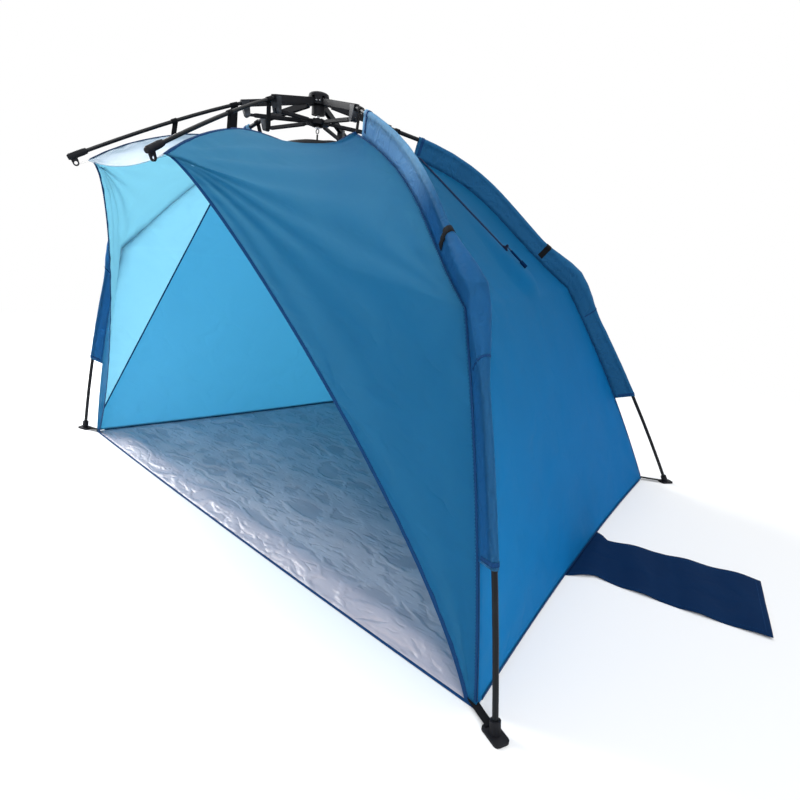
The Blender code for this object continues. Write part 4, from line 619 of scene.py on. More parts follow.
def grid_uv(grid):
    """Lay a grid out flat in metres: across from its middle, and along its middle line."""
    middle = len(grid[0]) // 2
    flat, run = [], 0.0
    for i, line in enumerate(grid):
        if i:
            run += (line[middle] - grid[i - 1][middle]).length
        steps = [0.0]
        for first, second in zip(line, line[1:]):
            steps.append(steps[-1] + (second - first).length)
        flat.append([(step - steps[middle], run) for step in steps])
    return flat


def folded(grid, fans=(), waves=()):
    """Move a grid's points along its normals for fans of folds, slow waves and puckers.

    A fan is (row share, column share, count, reach, height, phase). A wave is
    (height, size across, size along, seed).
    """
    flat, normals = grid_uv(grid), grid_normals(grid)
    last_i, last_j = len(grid) - 1, len(grid[0]) - 1
    result = []
    for i, line in enumerate(grid):
        points = []
        first_u, last_u, from_end = flat[i][0][0], flat[i][-1][0], min(i, last_i - i)
        for j, point in enumerate(line):
            u, v = flat[i][j]
            edge = min(j, last_j - j) / last_j * (last_u - first_u)
            edge = smooth(min(edge, from_end / last_i * flat[-1][0][1]) / EDGE_FADE)
            move = 0.0
            for row_share, column_share, count, reach, height, phase in fans:
                start_u, start_v = flat[round(row_share * last_i)][round(column_share * last_j)]
                away = math.hypot(u - start_u, v - start_v)
                if away < reach:
                    rise = smooth(away / FAN_START) * smooth((reach - away) / reach)
                    move += height * rise * math.sin(count * math.atan2(v - start_v, u - start_u) + phase)
            for height, size_u, size_v, seed in waves:
                move += height * noise.noise(Vector((u / size_u, v / size_v, seed)))
            from_seam = min(u - first_u, last_u - u)
            pucker = smooth(from_seam / PUCKER_RISE) * smooth((PUCKER_REACH - from_seam) / PUCKER_REACH)
            pucker *= PUCKER_HEIGHT * noise.noise(Vector((v / PUCKER_STEP, j // (last_j // 2), PUCKER_SEED)))
            points.append(point + normals[i][j] * (move * edge + pucker * smooth(from_end / PUCKER_ROWS)))
        result.append(points)
    return result


def grid_between(first, second, sag, upright=1.0, rows=PANEL_ROWS, columns=PANEL_COLUMNS):
    """Fill the space between two lines with a grid.

    It is drawn in by sag(share). An upright panel is drawn down at its top and inward at its foot, and one whose
    upright is 0 is drawn down all along.
    """
    grid = []
    for i in range(rows + 1):
        share = i / rows
        start, end = first(share), second(share)
        inset = (end - start).normalized() * SEAM_GAP
        start, end = start + inset, end - inset
        inward = -outside((start + end) / 2.0).normalized()
        level = upright * share
        inward = (inward * level - UP * (1.0 - level)).normalized()
        grid.append([start.lerp(end, across) + inward * (4.0 * across * (1.0 - across) * sag(share))
                     for across in (j / columns for j in range(columns + 1))])
    return grid


def crown_sag(grid, first, second, extra):
    """Lower a grid where the cloth hangs in a hollow round the crown.

    first and second are how far the hollow reaches along the two seams, and extra how much farther between them.
    """
    result = []
    for line in grid:
        points = []
        for j, point in enumerate(line):
            across = j / (len(line) - 1)
            reach = first + (second - first) * across + extra * 4.0 * across * (1.0 - across)
            away = math.hypot(point.x, point.y)
            depth = CROWN_HANG + CROWN_HOLLOW * smooth(away / CROWN_LIP)
            points.append(point - UP * (depth * smooth((reach - away) / (reach * CROWN_EASE))))
        result.append(points)
    return result


def add_object(name, mesh, materials):
    """Link a mesh as an object with its materials."""
    for material in materials:
        mesh.materials.append(material)
    return new_object(name, mesh)


def thicken(item, thickness, offset):
    """Give a sheet its thickness and return the modifier."""
    modifier = item.modifiers.new("thickness", "SOLIDIFY")
    modifier.thickness = thickness
    modifier.offset = offset
    return modifier


def sheet_object(name, node, grid, materials, thickness=CLOTH, flip=False):
    """Make a cloth object from a grid in place of a node, with UVs in metres and two faces."""
    columns = len(grid[0])
    uvs = [spot for line in grid_uv(grid) for spot in line]
    faces = []
    for i in range(len(grid) - 1):
        for j in range(columns - 1):
            face = [i * columns + j, (i + 1) * columns + j, (i + 1) * columns + j + 1, i * columns + j + 1]
            faces.append(face[::-1] if flip else face)
    mesh = bpy.data.meshes.new(name)
    mesh.from_pydata([point for line in grid for point in line], [], faces)
    layer = mesh.uv_layers.new(name="cloth")
    for loop in mesh.loops:
        layer.data[loop.index].uv = uvs[loop.vertex_index]
    mesh.shade_smooth()
    item = add_object(name, mesh, materials)
    modifier = thicken(item, thickness, 0.0)
    modifier.use_even_offset = True
    modifier.material_offset = len(materials) - 1
    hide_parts(node)
    return item


def flat_size(grid):
    """Return the widest line and the longest column of a grid: the cloth's cut size."""
    def run(line):
        return sum((b - a).length for a, b in zip(line, line[1:]))
    return max(run(line) for line in grid), max(run(column) for column in zip(*grid))


def declare(item, grid):
    """Print a piece's name and its flat size."""
    width, length = (round(x, 3) for x in flat_size(grid))
    print(item.name, "flat", width, "x", length, "m")


# %% [markdown]
# ## The five walls
#
# Two wings run from the awning roof to the ground, one side wall hangs between
# the legs of each side, and the rear wall closes the back. The wings carry most
# of the pull, so their folds fan out from the awning's tip and from the foot.
# The left wall has a front strip of wing cloth, which a plane parts from the rest.
# It looks brighter from inside, from the light that comes through it and from the
# wing's paler inside colour, which is painted light.

# %% Walls
LEG_REACH, AWNING_REACH = 0.250, 0.420
WING_SPREAD, SIDE_SPREAD, ROOF_SPREAD = 0.30, 0.12, 0.05
ZIP_BAND, ZIP_CALM, ZIP_SEAT, ZIP_BEYOND = 0.030, 0.110, 0.0014, 0.2
STRIP_NORMAL, STRIP_DISTANCE = Vector((-0.4222, -0.7877, 0.4485)), 0.7272
TEST_ROW = 80
TIP_SHARE, ELBOW_SHARE = ROOF_ROWS / LAST_ROW, KNEE_ROW / LAST_ROW
WING_WAVES = ((0.010, 0.34, 0.60, 3.0), (0.005, 0.12, 0.30, 7.0))
SIDE_WAVES = ((0.012, 0.45, 0.60, 11.0), (0.005, 0.16, 0.26, 5.0))
REAR_WAVES = ((0.012, 0.5, 0.6, 21.0), (0.005, 0.2, 0.3, 22.0))
WING_FANS = ((TIP_SHARE, 0.0, 16.0, 0.75, 0.0045, 0.3), (1.0, 0.5, 18.0, 0.8, 0.004, 1.0),
             (ELBOW_SHARE, 1.0, 10.0, 0.5, 0.003, 0.0))


def row_line(line):
    """Turn a line given by rows into one given by a share from 0 to 1."""
    return lambda share: line(share * LAST_ROW)


def seeded(waves, sign):
    """Give the waves of a panel other seeds on each side."""
    return [(*wave, seed + sign) for *wave, seed in waves]


def wall_fans(mirrored):
    """Return the folds of a side wall, for either side."""
    near, far = (1.0, 0.0) if mirrored else (0.0, 1.0)
    return ((1.0, near, 14.0, 0.7, 0.0035, 0.6), (1.0, far, 12.0, 0.6, 0.003, 1.1),
            (ELBOW_SHARE, near, 9.0, 0.5, 0.0025, 0.4), (0.0, 0.5, 10.0, 0.8, 0.003, 0.2))


chain_low, chain_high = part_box("zip_chain")
zip_axis = next(Vector(joint["axis"]) for joint in frame["joints"] if joint["name"] == "zip_travel").normalized()
corner_parts = list(zip(chain_low, chain_high, zip_axis))
zip_start = Vector([low if part > 0.0 else high for low, high, part in corner_parts])
zip_end = Vector([high if part > 0.0 else low for low, high, part in corner_parts])
zip_run = zip_end - zip_start


def pressed_to_zip(grid):
    """Lay a grid's cloth flat under the zip chain."""
    result = []
    for line, bent in zip(grid, grid_normals(grid)):
        points = []
        for point, normal in zip(line, bent):
            share = min(max((point - zip_start).dot(zip_run) / zip_run.length_squared, -ZIP_BEYOND), 1.0 + ZIP_BEYOND)
            reach = point - zip_start.lerp(zip_end, share)
            up = facing(normal, UP)
            height = reach.dot(up)
            hold = smooth((ZIP_CALM - (reach - up * height).length) / (ZIP_CALM - ZIP_BAND))
            points.append(point - up * ((height + ZIP_SEAT) * hold))
        result.append(points)
    return result


def ahead_of_strip(point):
    """Return how far a point lies in front of the seam of the left side wall's front strip."""
    return point.dot(STRIP_NORMAL) - STRIP_DISTANCE


wall_grids = {}
for label, sign in SIDES:
    front, rear = LEGS[f"front_{label}"], LEGS[f"rear_{label}"]
    wing = grid_between(row_line(lambda row, s=sign: wing_edge(s, row)), row_line(front.seam),
                        lambda share: WING_SAG * math.sin(math.pi * share))
    wing = folded(wing, WING_FANS, seeded(WING_WAVES, sign))
    side = grid_between(row_line(front.seam), row_line(rear.seam), lambda share: SIDE_SAG * share)
    side = folded(side, wall_fans(False), seeded(SIDE_WAVES, sign))
    if label == "right":
        side = pressed_to_zip(side)
    wall_grids[f"wing_{label}"] = crown_sag(wing, AWNING_REACH, LEG_REACH, WING_SPREAD)
    wall_grids[f"side_{label}"] = crown_sag(side, LEG_REACH, LEG_REACH, SIDE_SPREAD)
rear = grid_between(row_line(LEGS["rear_left"].seam), row_line(LEGS["rear_right"].seam),
                    lambda share: REAR_SAG * share)
rear = folded(rear, wall_fans(False) + wall_fans(True), REAR_WAVES)
wall_grids["rear_wall"] = crown_sag(rear, LEG_REACH, LEG_REACH, SIDE_SPREAD)

WALL_LOOKS = {"wing_left": (WING_OUT, WING_IN), "wing_right": (WING_OUT, WING_IN),
              "side_left": (PIECED_OUT, PIECED_IN)}
walls = {}
for name, grid in wall_grids.items():
    middle = PANEL_COLUMNS // 2
    faces_in = grid_normals(grid)[TEST_ROW][middle].dot(outside(grid[TEST_ROW][middle])) < 0.0
    title = "rear_cloth" if name == "rear_wall" else f"cloth_{name}"
    walls[name] = sheet_object(title, name, grid, WALL_LOOKS.get(name, (SIDE_OUT, SIDE_IN)), flip=faces_in)
    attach(walls[name], "root")

strip = walls["side_left"].data.attributes.new("strip", "FLOAT", "POINT")
strip.data.foreach_set("value", [ahead_of_strip(point) for line in wall_grids["side_left"] for point in line])
print("walls", list(walls))

# %% [markdown]
# ## The awning roof
#
# The roof is a triangle of pale, coated cloth between the two awning seams. It
# hangs a little between them.

# %% Roof
ROOF_LINES, ROOF_COLUMNS = 50, 40
ROOF_FANS = ((1.0, 0.0, 12.0, 0.4, 0.0025, 0.4), (1.0, 1.0, 12.0, 0.4, 0.0025, 0.9))
ROOF_WAVES = ((0.006, 0.14, 0.3, 31.0),)
roof_grid = grid_between(lambda share: roof_seam(-1.0, share * ROOF_ROWS),
                         lambda share: roof_seam(1.0, share * ROOF_ROWS), lambda share: ROOF_SAG * share, 0.0,
                         ROOF_LINES, ROOF_COLUMNS)
roof_grid = folded(roof_grid, ROOF_FANS, ROOF_WAVES)
roof_grid = crown_sag(roof_grid, AWNING_REACH, AWNING_REACH, ROOF_SPREAD)
roof_up = grid_normals(roof_grid)[ROOF_LINES // 2][ROOF_COLUMNS // 2].z > 0.0
roof = sheet_object("cloth_roof", "awning_roof", roof_grid, (ROOF_OUT, ROOF_IN), flip=not roof_up)
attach(roof, "root")


# %% [markdown]
# ## Ribbons
#
# Tapes, straps and webbing are all one thing: a flat band that follows a line.
# The section is a thin rectangle with rounded edges. Its width runs along a given
# direction at each point, so the band lies flat on what it is sewn to.

# %% Ribbons
def work_object(name, work, material):
    """Turn a finished bmesh into a smooth object."""
    mesh = bpy.data.meshes.new(name)
    work.to_mesh(mesh)
    work.free()
    mesh.shade_smooth()
    return add_object(name, mesh, [material])


def ribbon(name, points, widths, normals, width, thickness, material, body="root"):
    """Make a flat band along points and let it ride on a body.

    widths are the directions across it. They and the normals may be one direction for the whole band.
    """
    widths, normals = ([way] * len(points) if isinstance(way, Vector) else way for way in (widths, normals))
    half, thick = width / 2.0, thickness / 2.0
    section = [(half, 0.0), (half - thick, thick), (0.0, thick), (-half + thick, thick), (-half, 0.0),
               (-half + thick, -thick), (0.0, -thick), (half - thick, -thick)]
    around = [0.0]
    for first, second in zip(section, section[1:] + section[:1]):
        around.append(around[-1] + math.dist(first, second))
    work = bmesh.new()
    layer = work.loops.layers.uv.new("cloth")
    loops, runs = [], []
    for index, (point, across, normal) in enumerate(zip(points, widths, normals)):
        runs.append(runs[-1] + (point - points[index - 1]).length if index else 0.0)
        flat = (across - normal * across.dot(normal)).normalized()
        loops.append([work.verts.new(point + flat * a + normal * b) for a, b in section])
    for first, second, start, end in zip(loops, loops[1:], runs, runs[1:]):
        for side in range(len(section)):
            after = (side + 1) % len(section)
            face = work.faces.new((first[side], first[after], second[after], second[side]))
            low, high = around[side], around[side + 1]
            for loop, spot in zip(face.loops, ((low, start), (high, start), (high, end), (low, end))):
                loop[layer].uv = spot
    work.faces.new(loops[0])
    work.faces.new(list(reversed(loops[-1])))
    bmesh.ops.recalc_face_normals(work, faces=work.faces)
    band = work_object(name, work, material)
    band.data.set_sharp_from_angle(angle=math.radians(50.0))
    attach(band, body)


def edge_lines(grid, column, inset):
    """Return points, directions across and normals along an edge column of a grid, moved in by inset."""
    step = 3 if column == 0 else -3
    widths = [(line[column + step] - line[column]).normalized() for line in grid]
    points = [line[column] + across * inset for line, across in zip(grid, widths)]
    return points, widths, [bent[column] for bent in grid_normals(grid)]


def cut(lines, first, last=None):
    """Cut the same piece out of several lines."""
    return [line[first:last] for line in lines]


# %% [markdown]
# ## Hem tapes
#
# The free front edge of each wing is bound in darker tape, folded round the raw
# edge. It reads as a dark line from the awning's tip to the foot. Narrower tape
# covers the roof's seams, and the roof's own cloth is turned up at its lip.

# %% Hem tapes
HEM_WIDTH, HEM_OVERLAP, ROOF_TAPE_WIDTH, LIP_WIDTH, TAPE_THICKNESS = 0.014, 0.001, 0.010, 0.012, 0.0022
HEM_ROW = round(PANEL_ROWS * ROOF_ROWS / LAST_ROW)
for label, _ in SIDES:
    grid = wall_grids[f"wing_{label}"]
    ribbon(f"hem_tape_{label}", *cut(edge_lines(grid, 0, HEM_WIDTH / 2.0 - HEM_OVERLAP), HEM_ROW), HEM_WIDTH,
           TAPE_THICKNESS, TAPE)
    ribbon(f"roof_seam_{label}", *cut(edge_lines(grid, 0, 0.0), 3, HEM_ROW + 1), ROOF_TAPE_WIDTH, TAPE_THICKNESS,
           TAPE)
lip_widths = [(inner - outer).normalized() for inner, outer in zip(roof_grid[-4], roof_grid[-1])]
ribbon("roof_lip", roof_grid[-1], lip_widths, grid_normals(roof_grid)[-1], LIP_WIDTH, TAPE_THICKNESS, ROOF_OUT)

# %% [markdown]
# ## Pole sleeves
#
# Each leg pole runs in a long pocket of lighter cloth that is sewn to the seam.
# The front pockets are painted paler still towards their top, which is painted light.
# In section it is a drop: two plies side by side from the seam, then a loop round
# the pole. It widens at the elbow.

# %% Sleeves
SLEEVE_SPAN = {"front": (2.25, 10.7), "rear": (2.45, 10.3)}
SLEEVE_STATIONS, PLY_STEPS, LOOP_STEPS = 110, 4, 9
LOOP_START, LOOP_TURN = math.radians(45.0), math.radians(135.0)
SLEEVE_DEEP, SLEEVE_WIDE = 0.0095, 0.0082
ELBOW_DEEP, ELBOW_WIDE, ELBOW_SHIFT = 0.0222, 0.0215, 0.0060
ELBOW_SOLID, ELBOW_REACH = 0.034, 0.210
SLEEVE_CLOTH, PLY_GAP, SEAM_SHORT, WAIST, RIPPLE, SLACK = 0.0008, 0.0006, 0.0012, 0.70, 0.0025, 0.10
TEST_STATION, TEST_SEAM_ROW = 50, 6.0


def sleeve_grid(leg, seed):
    """Return the cloth grid of a sleeve, from one ply at the seam round the pole to the other."""
    start, end = SLEEVE_SPAN[leg.kind]
    grid = []
    for i in range(SLEEVE_STATIONS + 1):
        row = start + (end - start) * i / SLEEVE_STATIONS
        pole, seam = leg.pole(row), leg.seam(row)
        inward = (seam - pole).normalized()
        side = (leg.side - inward * leg.side.dot(inward)).normalized()
        near = smooth((ELBOW_REACH - (pole - leg.knee).length) / (ELBOW_REACH - ELBOW_SOLID))
        deep = SLEEVE_DEEP + (ELBOW_DEEP - SLEEVE_DEEP) * near
        wide = SLEEVE_WIDE + (ELBOW_WIDE - SLEEVE_WIDE) * near
        centre = pole - inward * (ELBOW_SHIFT * near)
        reach = (seam - centre).length - SEAM_SHORT
        plies = []
        for ply in (1.0, -1.0):
            half_loop = []
            for share in (k / PLY_STEPS for k in range(PLY_STEPS)):
                depth = reach + (deep * WAIST - reach) * share
                ripple = noise.noise(Vector((row * 3.1, share * 2.0, seed + ply))) * RIPPLE * share
                apart = PLY_GAP + wide * WAIST * math.sin(share * math.pi / 2.0) ** 2 + ripple
                half_loop.append(centre + inward * depth + side * ply * apart)
            for angle in (LOOP_START + LOOP_TURN * k / LOOP_STEPS for k in range(LOOP_STEPS)):
                slack = 1.0 + SLACK * noise.noise(Vector((row * 4.3, angle * 1.4, seed + ply)))
                half_loop.append(centre + inward * (deep * slack * math.cos(angle))
                                 + side * ply * (wide * slack * math.sin(angle)))
            plies.append(half_loop)
        grid.append([*plies[0], centre - inward * deep, *reversed(plies[1])])
    return grid


sleeves = {}
for number, (tail, leg) in enumerate(LEGS.items()):
    grid = sleeve_grid(leg, 40.0 + number)
    middle = len(grid[0]) // 2
    normal, place = grid_normals(grid)[TEST_STATION][middle], grid[TEST_STATION][middle]
    faces_out = normal.dot(place - leg.seam(TEST_SEAM_ROW)) > 0.0
    look = FRONT_SLEEVE if leg.kind == "front" else REAR_SLEEVE
    sleeve = sheet_object(f"pocket_{tail}", f"sleeve_{tail}", grid, (look,), SLEEVE_CLOTH, flip=not faces_out)
    sleeves[tail] = (sleeve, grid)
print("sleeves", list(sleeves))

# %% [markdown]
# ## Floor
#
# The floor is a coated sheet with a silver face. It lies flat at its edges and
# is wrinkled where it was folded. A low ridge runs behind its bound front edge.
# Narrow tape binds the walls' lower edges.

# %% Floor
FLOOR_ROWS, FLOOR_COLUMNS = 110, 130
FLOOR_BASE, FLOOR_CLOTH, FLOOR_INSET, FLOOR_EDGE = 0.0010, 0.0009, 0.0006, 0.06
FRONT_BOW, RIDGE_HEIGHT, RIDGE_AT, RIDGE_WIDE, RIDGE_COLUMNS = 0.010, 0.016, 0.070, 0.040, 14.0
WRINKLE_BASE, WRINKLE_WIDE, WRINKLE_SHARP, WRINKLE_SMALL = 0.004, 0.005, 0.004, 0.0016
FRONT_TAPE_WIDTH, FRONT_TAPE_LIFT = 0.008, 0.0004
GROUND_TAPE_HIGH, GROUND_TAPE_THICK, GROUND_TAPE_LIFT = 0.010, 0.0012, 0.0004


def bottom(name):
    """Return the lower edge of a wall as a line by share."""
    line = wall_grids[name][-1]

    def at(share):
        place = share * (len(line) - 1)
        low = min(int(place), len(line) - 2)
        return line[low].lerp(line[low + 1], place - low)
    return at


def floor_rise(x, y, behind, columns_in, fade):
    """Return the height of the floor's wrinkles and of its front ridge at a place."""
    wide = noise.noise(Vector((x * 2.2, y * 6.0, 51.0)))
    sharp = 1.0 - abs(noise.noise(Vector((x * 3.0 + y * 2.0, y * 9.0, 52.0)))) * 3.0
    small = noise.noise(Vector((x * 16.0, y * 20.0, 53.0)))
    rise = WRINKLE_BASE + WRINKLE_WIDE * wide + WRINKLE_SHARP * max(sharp, 0.0) ** 2 + WRINKLE_SMALL * small
    ridge = RIDGE_HEIGHT * math.exp(-((behind - RIDGE_AT) / RIDGE_WIDE) ** 2) * smooth(columns_in / RIDGE_COLUMNS)
    return max(rise, 0.0) * fade, ridge * (0.75 + 0.5 * noise.noise(Vector((x * 1.6, 0.0, 54.0))))


left_bottom, right_bottom = bottom("side_left"), bottom("side_right")
floor_grid = []
for i in range(FLOOR_ROWS + 1):
    share = i / FLOOR_ROWS
    start, end = left_bottom(share), right_bottom(share)
    start, end = start.lerp(end, FLOOR_INSET), end.lerp(start, FLOOR_INSET)
    line = []
    for j in range(FLOOR_COLUMNS + 1):
        across = j / FLOOR_COLUMNS
        columns_in = min(j, FLOOR_COLUMNS - j)
        x, y, _ = start.lerp(end, across)
        y -= 4.0 * across * (1.0 - across) * (REAR_SAG * share ** 3 + FRONT_BOW * (1.0 - share) ** 6)
        inner = min(columns_in / FLOOR_COLUMNS * 2.0, min(i, FLOOR_ROWS - i) / FLOOR_ROWS * 1.6)
        behind = y - floor_grid[0][j].y if i else 0.0
        rise, ridge = floor_rise(x, y, behind, columns_in, smooth(inner / FLOOR_EDGE))
        line.append(Vector((x, y, FLOOR_BASE + rise + ridge * min(i, 2) / 2.0)))
    floor_grid.append(line)
floor_sheet = sheet_object("floor_sheet", "floor", floor_grid, (SHEETING,), FLOOR_CLOTH)
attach(floor_sheet, "root")
front = [point + UP * FRONT_TAPE_LIFT for point in floor_grid[0]]
ribbon("floor_front_tape", front, INWARD, UP, FRONT_TAPE_WIDTH, TAPE_THICKNESS, TAPE)

for name in ("side_left", "side_right", "rear_wall"):
    edge = wall_grids[name][-1]
    points, ups = [], []
    for before, spot, after in zip(edge, edge[1:], edge[2:]):
        up = facing((after - before).normalized().cross(UP).normalized(), outside(spot))
        ups.append(up)
        points.append(Vector((spot.x, spot.y, GROUND_TAPE_HIGH / 2.0 + GROUND_TAPE_LIFT))
                      + up * (GROUND_TAPE_THICK / 2.0 + CLOTH))
    ribbon(f"ground_tape_{name}", points, UP, ups, GROUND_TAPE_HIGH, GROUND_TAPE_THICK, TAPE)

# %% [markdown]
# ## Ground flap
#
# A navy flap lies on the ground beside the right wall, for a bag of sand. It is
# plain heavy cloth with a row of stitches along its hem.

# %% Flap
FLAP_ROWS, FLAP_COLUMNS, FLAP_CLOTH, FLAP_LIE = 70, 40, 0.0015, 0.0012
FLAP_SHARES = ((0.0, 1.0), (0.12, 0.84), (0.26, 0.92), (0.60, 1.0), (1.0, 1.02))
FLAP_LENGTH, FLAP_WIDTH, FLAP_RIPPLE, FLAP_WAVE, FLAP_EASE = 0.520, 0.310, 0.006, 0.003, 0.08
FLAP_START, FLAP_END, FLAP_TURN = 0.385, 0.600, math.radians(7.0)
seam_front, seam_rear = LEGS["front_right"].seam(LAST_ROW), LEGS["rear_right"].seam(LAST_ROW)
flap_out = (seam_rear - seam_front).normalized().cross(UP).normalized()
flap_roots = [seam_front.lerp(seam_rear, share) - flap_out * (SIDE_SAG - CLOTH * 3.0)
              for share in (FLAP_START, FLAP_END)]
flap_heart = (flap_roots[0] + flap_roots[1]) / 2.0
lead = Matrix.Rotation(FLAP_TURN, 3, "Z") @ flap_out


def flap_edges(share):
    """Return the two long edges of the flap at a share of its length."""
    (low, low_width), (high, high_width) = next(pair for pair in zip(FLAP_SHARES, FLAP_SHARES[1:])
                                                if share <= pair[1][0])
    edges = []
    for side, root in zip((-1.0, 1.0), flap_roots):
        first, second = (flap_heart + lead * (FLAP_LENGTH * stop) + UP.cross(lead) * (side * FLAP_WIDTH * width / 2.0)
                         for stop, width in ((low, low_width), (high, high_width)))
        edges.append((first if low else root).lerp(second, (share - low) / (high - low)))
    return edges


flap_grid = []
for i in range(FLAP_ROWS + 1):
    share = i / FLAP_ROWS
    first, second = flap_edges(share)
    line = []
    for j in range(FLAP_COLUMNS + 1):
        across = j / FLAP_COLUMNS
        x, y, _ = first.lerp(second, across)
        ripple = FLAP_RIPPLE * noise.noise(Vector((share * 5.0, across * 1.5, 61.0)))
        ripple += FLAP_WAVE * (1.0 + math.sin(share * 21.0 + across * 2.0))
        line.append(Vector((x, y, FLAP_LIE + max(ripple, 0.0) * smooth(share / FLAP_EASE))))
    flap_grid.append(line)
flap = sheet_object("flap_cloth", "ground_flap", flap_grid, (FLAP,), FLAP_CLOTH, flip=True)
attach(flap, "root")

# %% [markdown]
# ## Bands on the sleeves
#
# Black webbing crosses each sleeve just above the elbow, and narrow tape binds
# its two mouths. Another tape covers the join below the elbow. A band follows the
# sleeve's own section, lifted by its thickness.

# %% Sleeve bands
KNEE_BAND_ROWS, JOIN_ROW, MOUTH_INSET = {"front": 5.82, "rear": 6.22}, 7.9, 0.05
BAND_LIFT = 0.0005
BANDS = {
    # name: width, thickness, material, the body that it rides on
    "knee_band": (0.022, 0.0012, WEBBING, "rib"),
    "sleeve_mouth": (0.010, 0.0010, TAPE, "rib"),
    "sleeve_end": (0.010, 0.0010, TAPE, "leg"),
    "sleeve_seam": (0.005, 0.0008, TAPE, "leg"),
}
for tail, leg in LEGS.items():
    grid = sleeves[tail][1]
    normals = grid_normals(grid)
    start, end = SLEEVE_SPAN[leg.kind]
    for name, row in zip(BANDS, (KNEE_BAND_ROWS[leg.kind], start + MOUTH_INSET, end - MOUTH_INSET, JOIN_ROW)):
        width, thickness, material, body = BANDS[name]
        index = round((row - start) / (end - start) * SLEEVE_STATIONS)
        ups = [facing(normal, point - leg.pole(row)) for point, normal in zip(grid[index], normals[index])]
        ups[:4] = [ups[4]] * 4
        ups[-4:] = [ups[-5]] * 4
        points = [point + up * (thickness * 0.5 + BAND_LIFT) for point, up in zip(grid[index], ups)][1:-1]
        ribbon(f"{name}_{tail}", points, leg.along(row), ups[1:-1], width, thickness, material, f"{body}_{tail}")

# %% [markdown]
# ## Seam tapes
#
# Where a panel meets a sleeve, a narrow dark tape covers the raw edges. It reads
# as the thin line on both sides of each sleeve. The same tape lies on the seam of
# the left wall's front strip.

# %% Seam tapes
SEAM_WIDTH, SEAM_OVERLAP, SEAM_THICKNESS, SEAM_FIRST = 0.0055, 0.0012, 0.0016, 6
STRIP_WIDTH, STRIP_THICKNESS, STRIP_LIFT, STRIP_FIRST = 0.006, 0.0012, 0.0006, 22
OUTER_RISE = 0.2


def outer_sign(points, ups):
    """Return 1 where the normals along a line face out of the tent, else -1."""
    middle = len(points) // 2
    return 1.0 if ups[middle].dot(outside(points[middle], OUTER_RISE)) > 0.0 else -1.0


for name, column in (("wing_right", -1), ("side_left", -1), ("side_right", 0), ("side_right", -1), ("rear_wall", 0),
                     ("rear_wall", -1)):
    points, widths, ups = edge_lines(wall_grids[name], column, SEAM_WIDTH / 2.0 - SEAM_OVERLAP)
    lift = outer_sign(points, ups) * (SEAM_THICKNESS + CLOTH) / 2.0
    points = [point + up * lift for point, up in zip(points, ups)]
    ribbon(f"seam_tape_{name}_{'b' if column else 'a'}", *cut((points, widths, ups), SEAM_FIRST, -1), SEAM_WIDTH,
           SEAM_THICKNESS, TAPE)

points, ups = [], []
grid = wall_grids["side_left"]
for line, bent in zip(grid[STRIP_FIRST:], grid_normals(grid)[STRIP_FIRST:]):
    for first, second, normal in zip(line, line[1:], bent):
        near, far = ahead_of_strip(first), ahead_of_strip(second)
        if near >= 0.0 > far:
            up = facing(normal, RIGHT)
            points.append(first.lerp(second, near / (near - far)) + up * (CLOTH / 2.0 + STRIP_LIFT))
            ups.append(up)
            break
last = len(points) - 1
steps = [(points[min(k + 1, last)] - points[max(k - 1, 0)]).normalized() for k in range(last + 1)]
ribbon("strip_seam", points, [step.cross(up) for step, up in zip(steps, ups)], ups, STRIP_WIDTH, STRIP_THICKNESS, TAPE)

# %% [markdown]
# ## Straps from the poles to the cloth
#
# The canopy hangs from its poles in short straps. Each is a loop round the pole
# with its two ends sewn together and on down to the seam. At the awning's tips
# two flat gussets hold the roof and the wing.

# %% Hanging straps
STRAP_THICKNESS, STRAP_GAP = 0.0014, 0.0003
LOOP_FROM, LOOP_ROUND, LOOP_PARTS, DROP_PARTS = math.radians(-70.0), math.radians(320.0), 12, 8
AWNING_DROP, AWNING_PULL = math.radians(20.6), 0.193
AWNING_TIP, TIP_SOLID, TIP_SEAT = (0.684, 1.064), 0.052, 0.040
LUG_IN, LUG_DOWN, GUSSET_SHIFT, GUSSET_WIDTH, GUSSET_PARTS = 0.020, 0.0150, 0.003, 0.011, 8
AWNING_STRAPS, HOOK_AHEAD = (("hanger", 0.055, 0.022), ("mid_strap", 0.46, 0.016)), 0.012
GUSSET_ROOF_ROW, GUSSET_WING_ROW, ARM_BAND_ROW, ROW_STEP = ROOF_ROWS - 0.35, ROOF_ROWS + 0.22, ARM_ROWS + 0.10, 0.1
AWNING_STRAP_RADIUS, LEG_STRAP_RADIUS, LEG_STRAP_WIDTH, POLE_STEP = 0.0050, 0.0065, 0.016, 0.02


def strap_loop(name, place, along, down, radius, target, width, body):
    """Make a strap: round a pole at a place, then down to a target on the cloth."""
    side = along.cross(down).normalized()
    out = -(down - along * down.dot(along)).normalized()
    wall = radius + STRAP_THICKNESS * 0.5 + STRAP_GAP
    ups = []
    for index in range(LOOP_PARTS + 1):
        angle = LOOP_FROM + LOOP_ROUND * index / LOOP_PARTS
        ups.append(side * math.cos(angle) + out * math.sin(angle))
    points = [place + ray * wall for ray in ups]
    for index in range(1, DROP_PARTS + 1):
        share = smooth(index / DROP_PARTS)
        points.append(points[LOOP_PARTS].lerp(target, share))
        ups.append(ups[LOOP_PARTS].lerp(side, share).normalized())
    ribbon(name, points, along, ups, width, STRAP_THICKNESS, WEBBING, body)


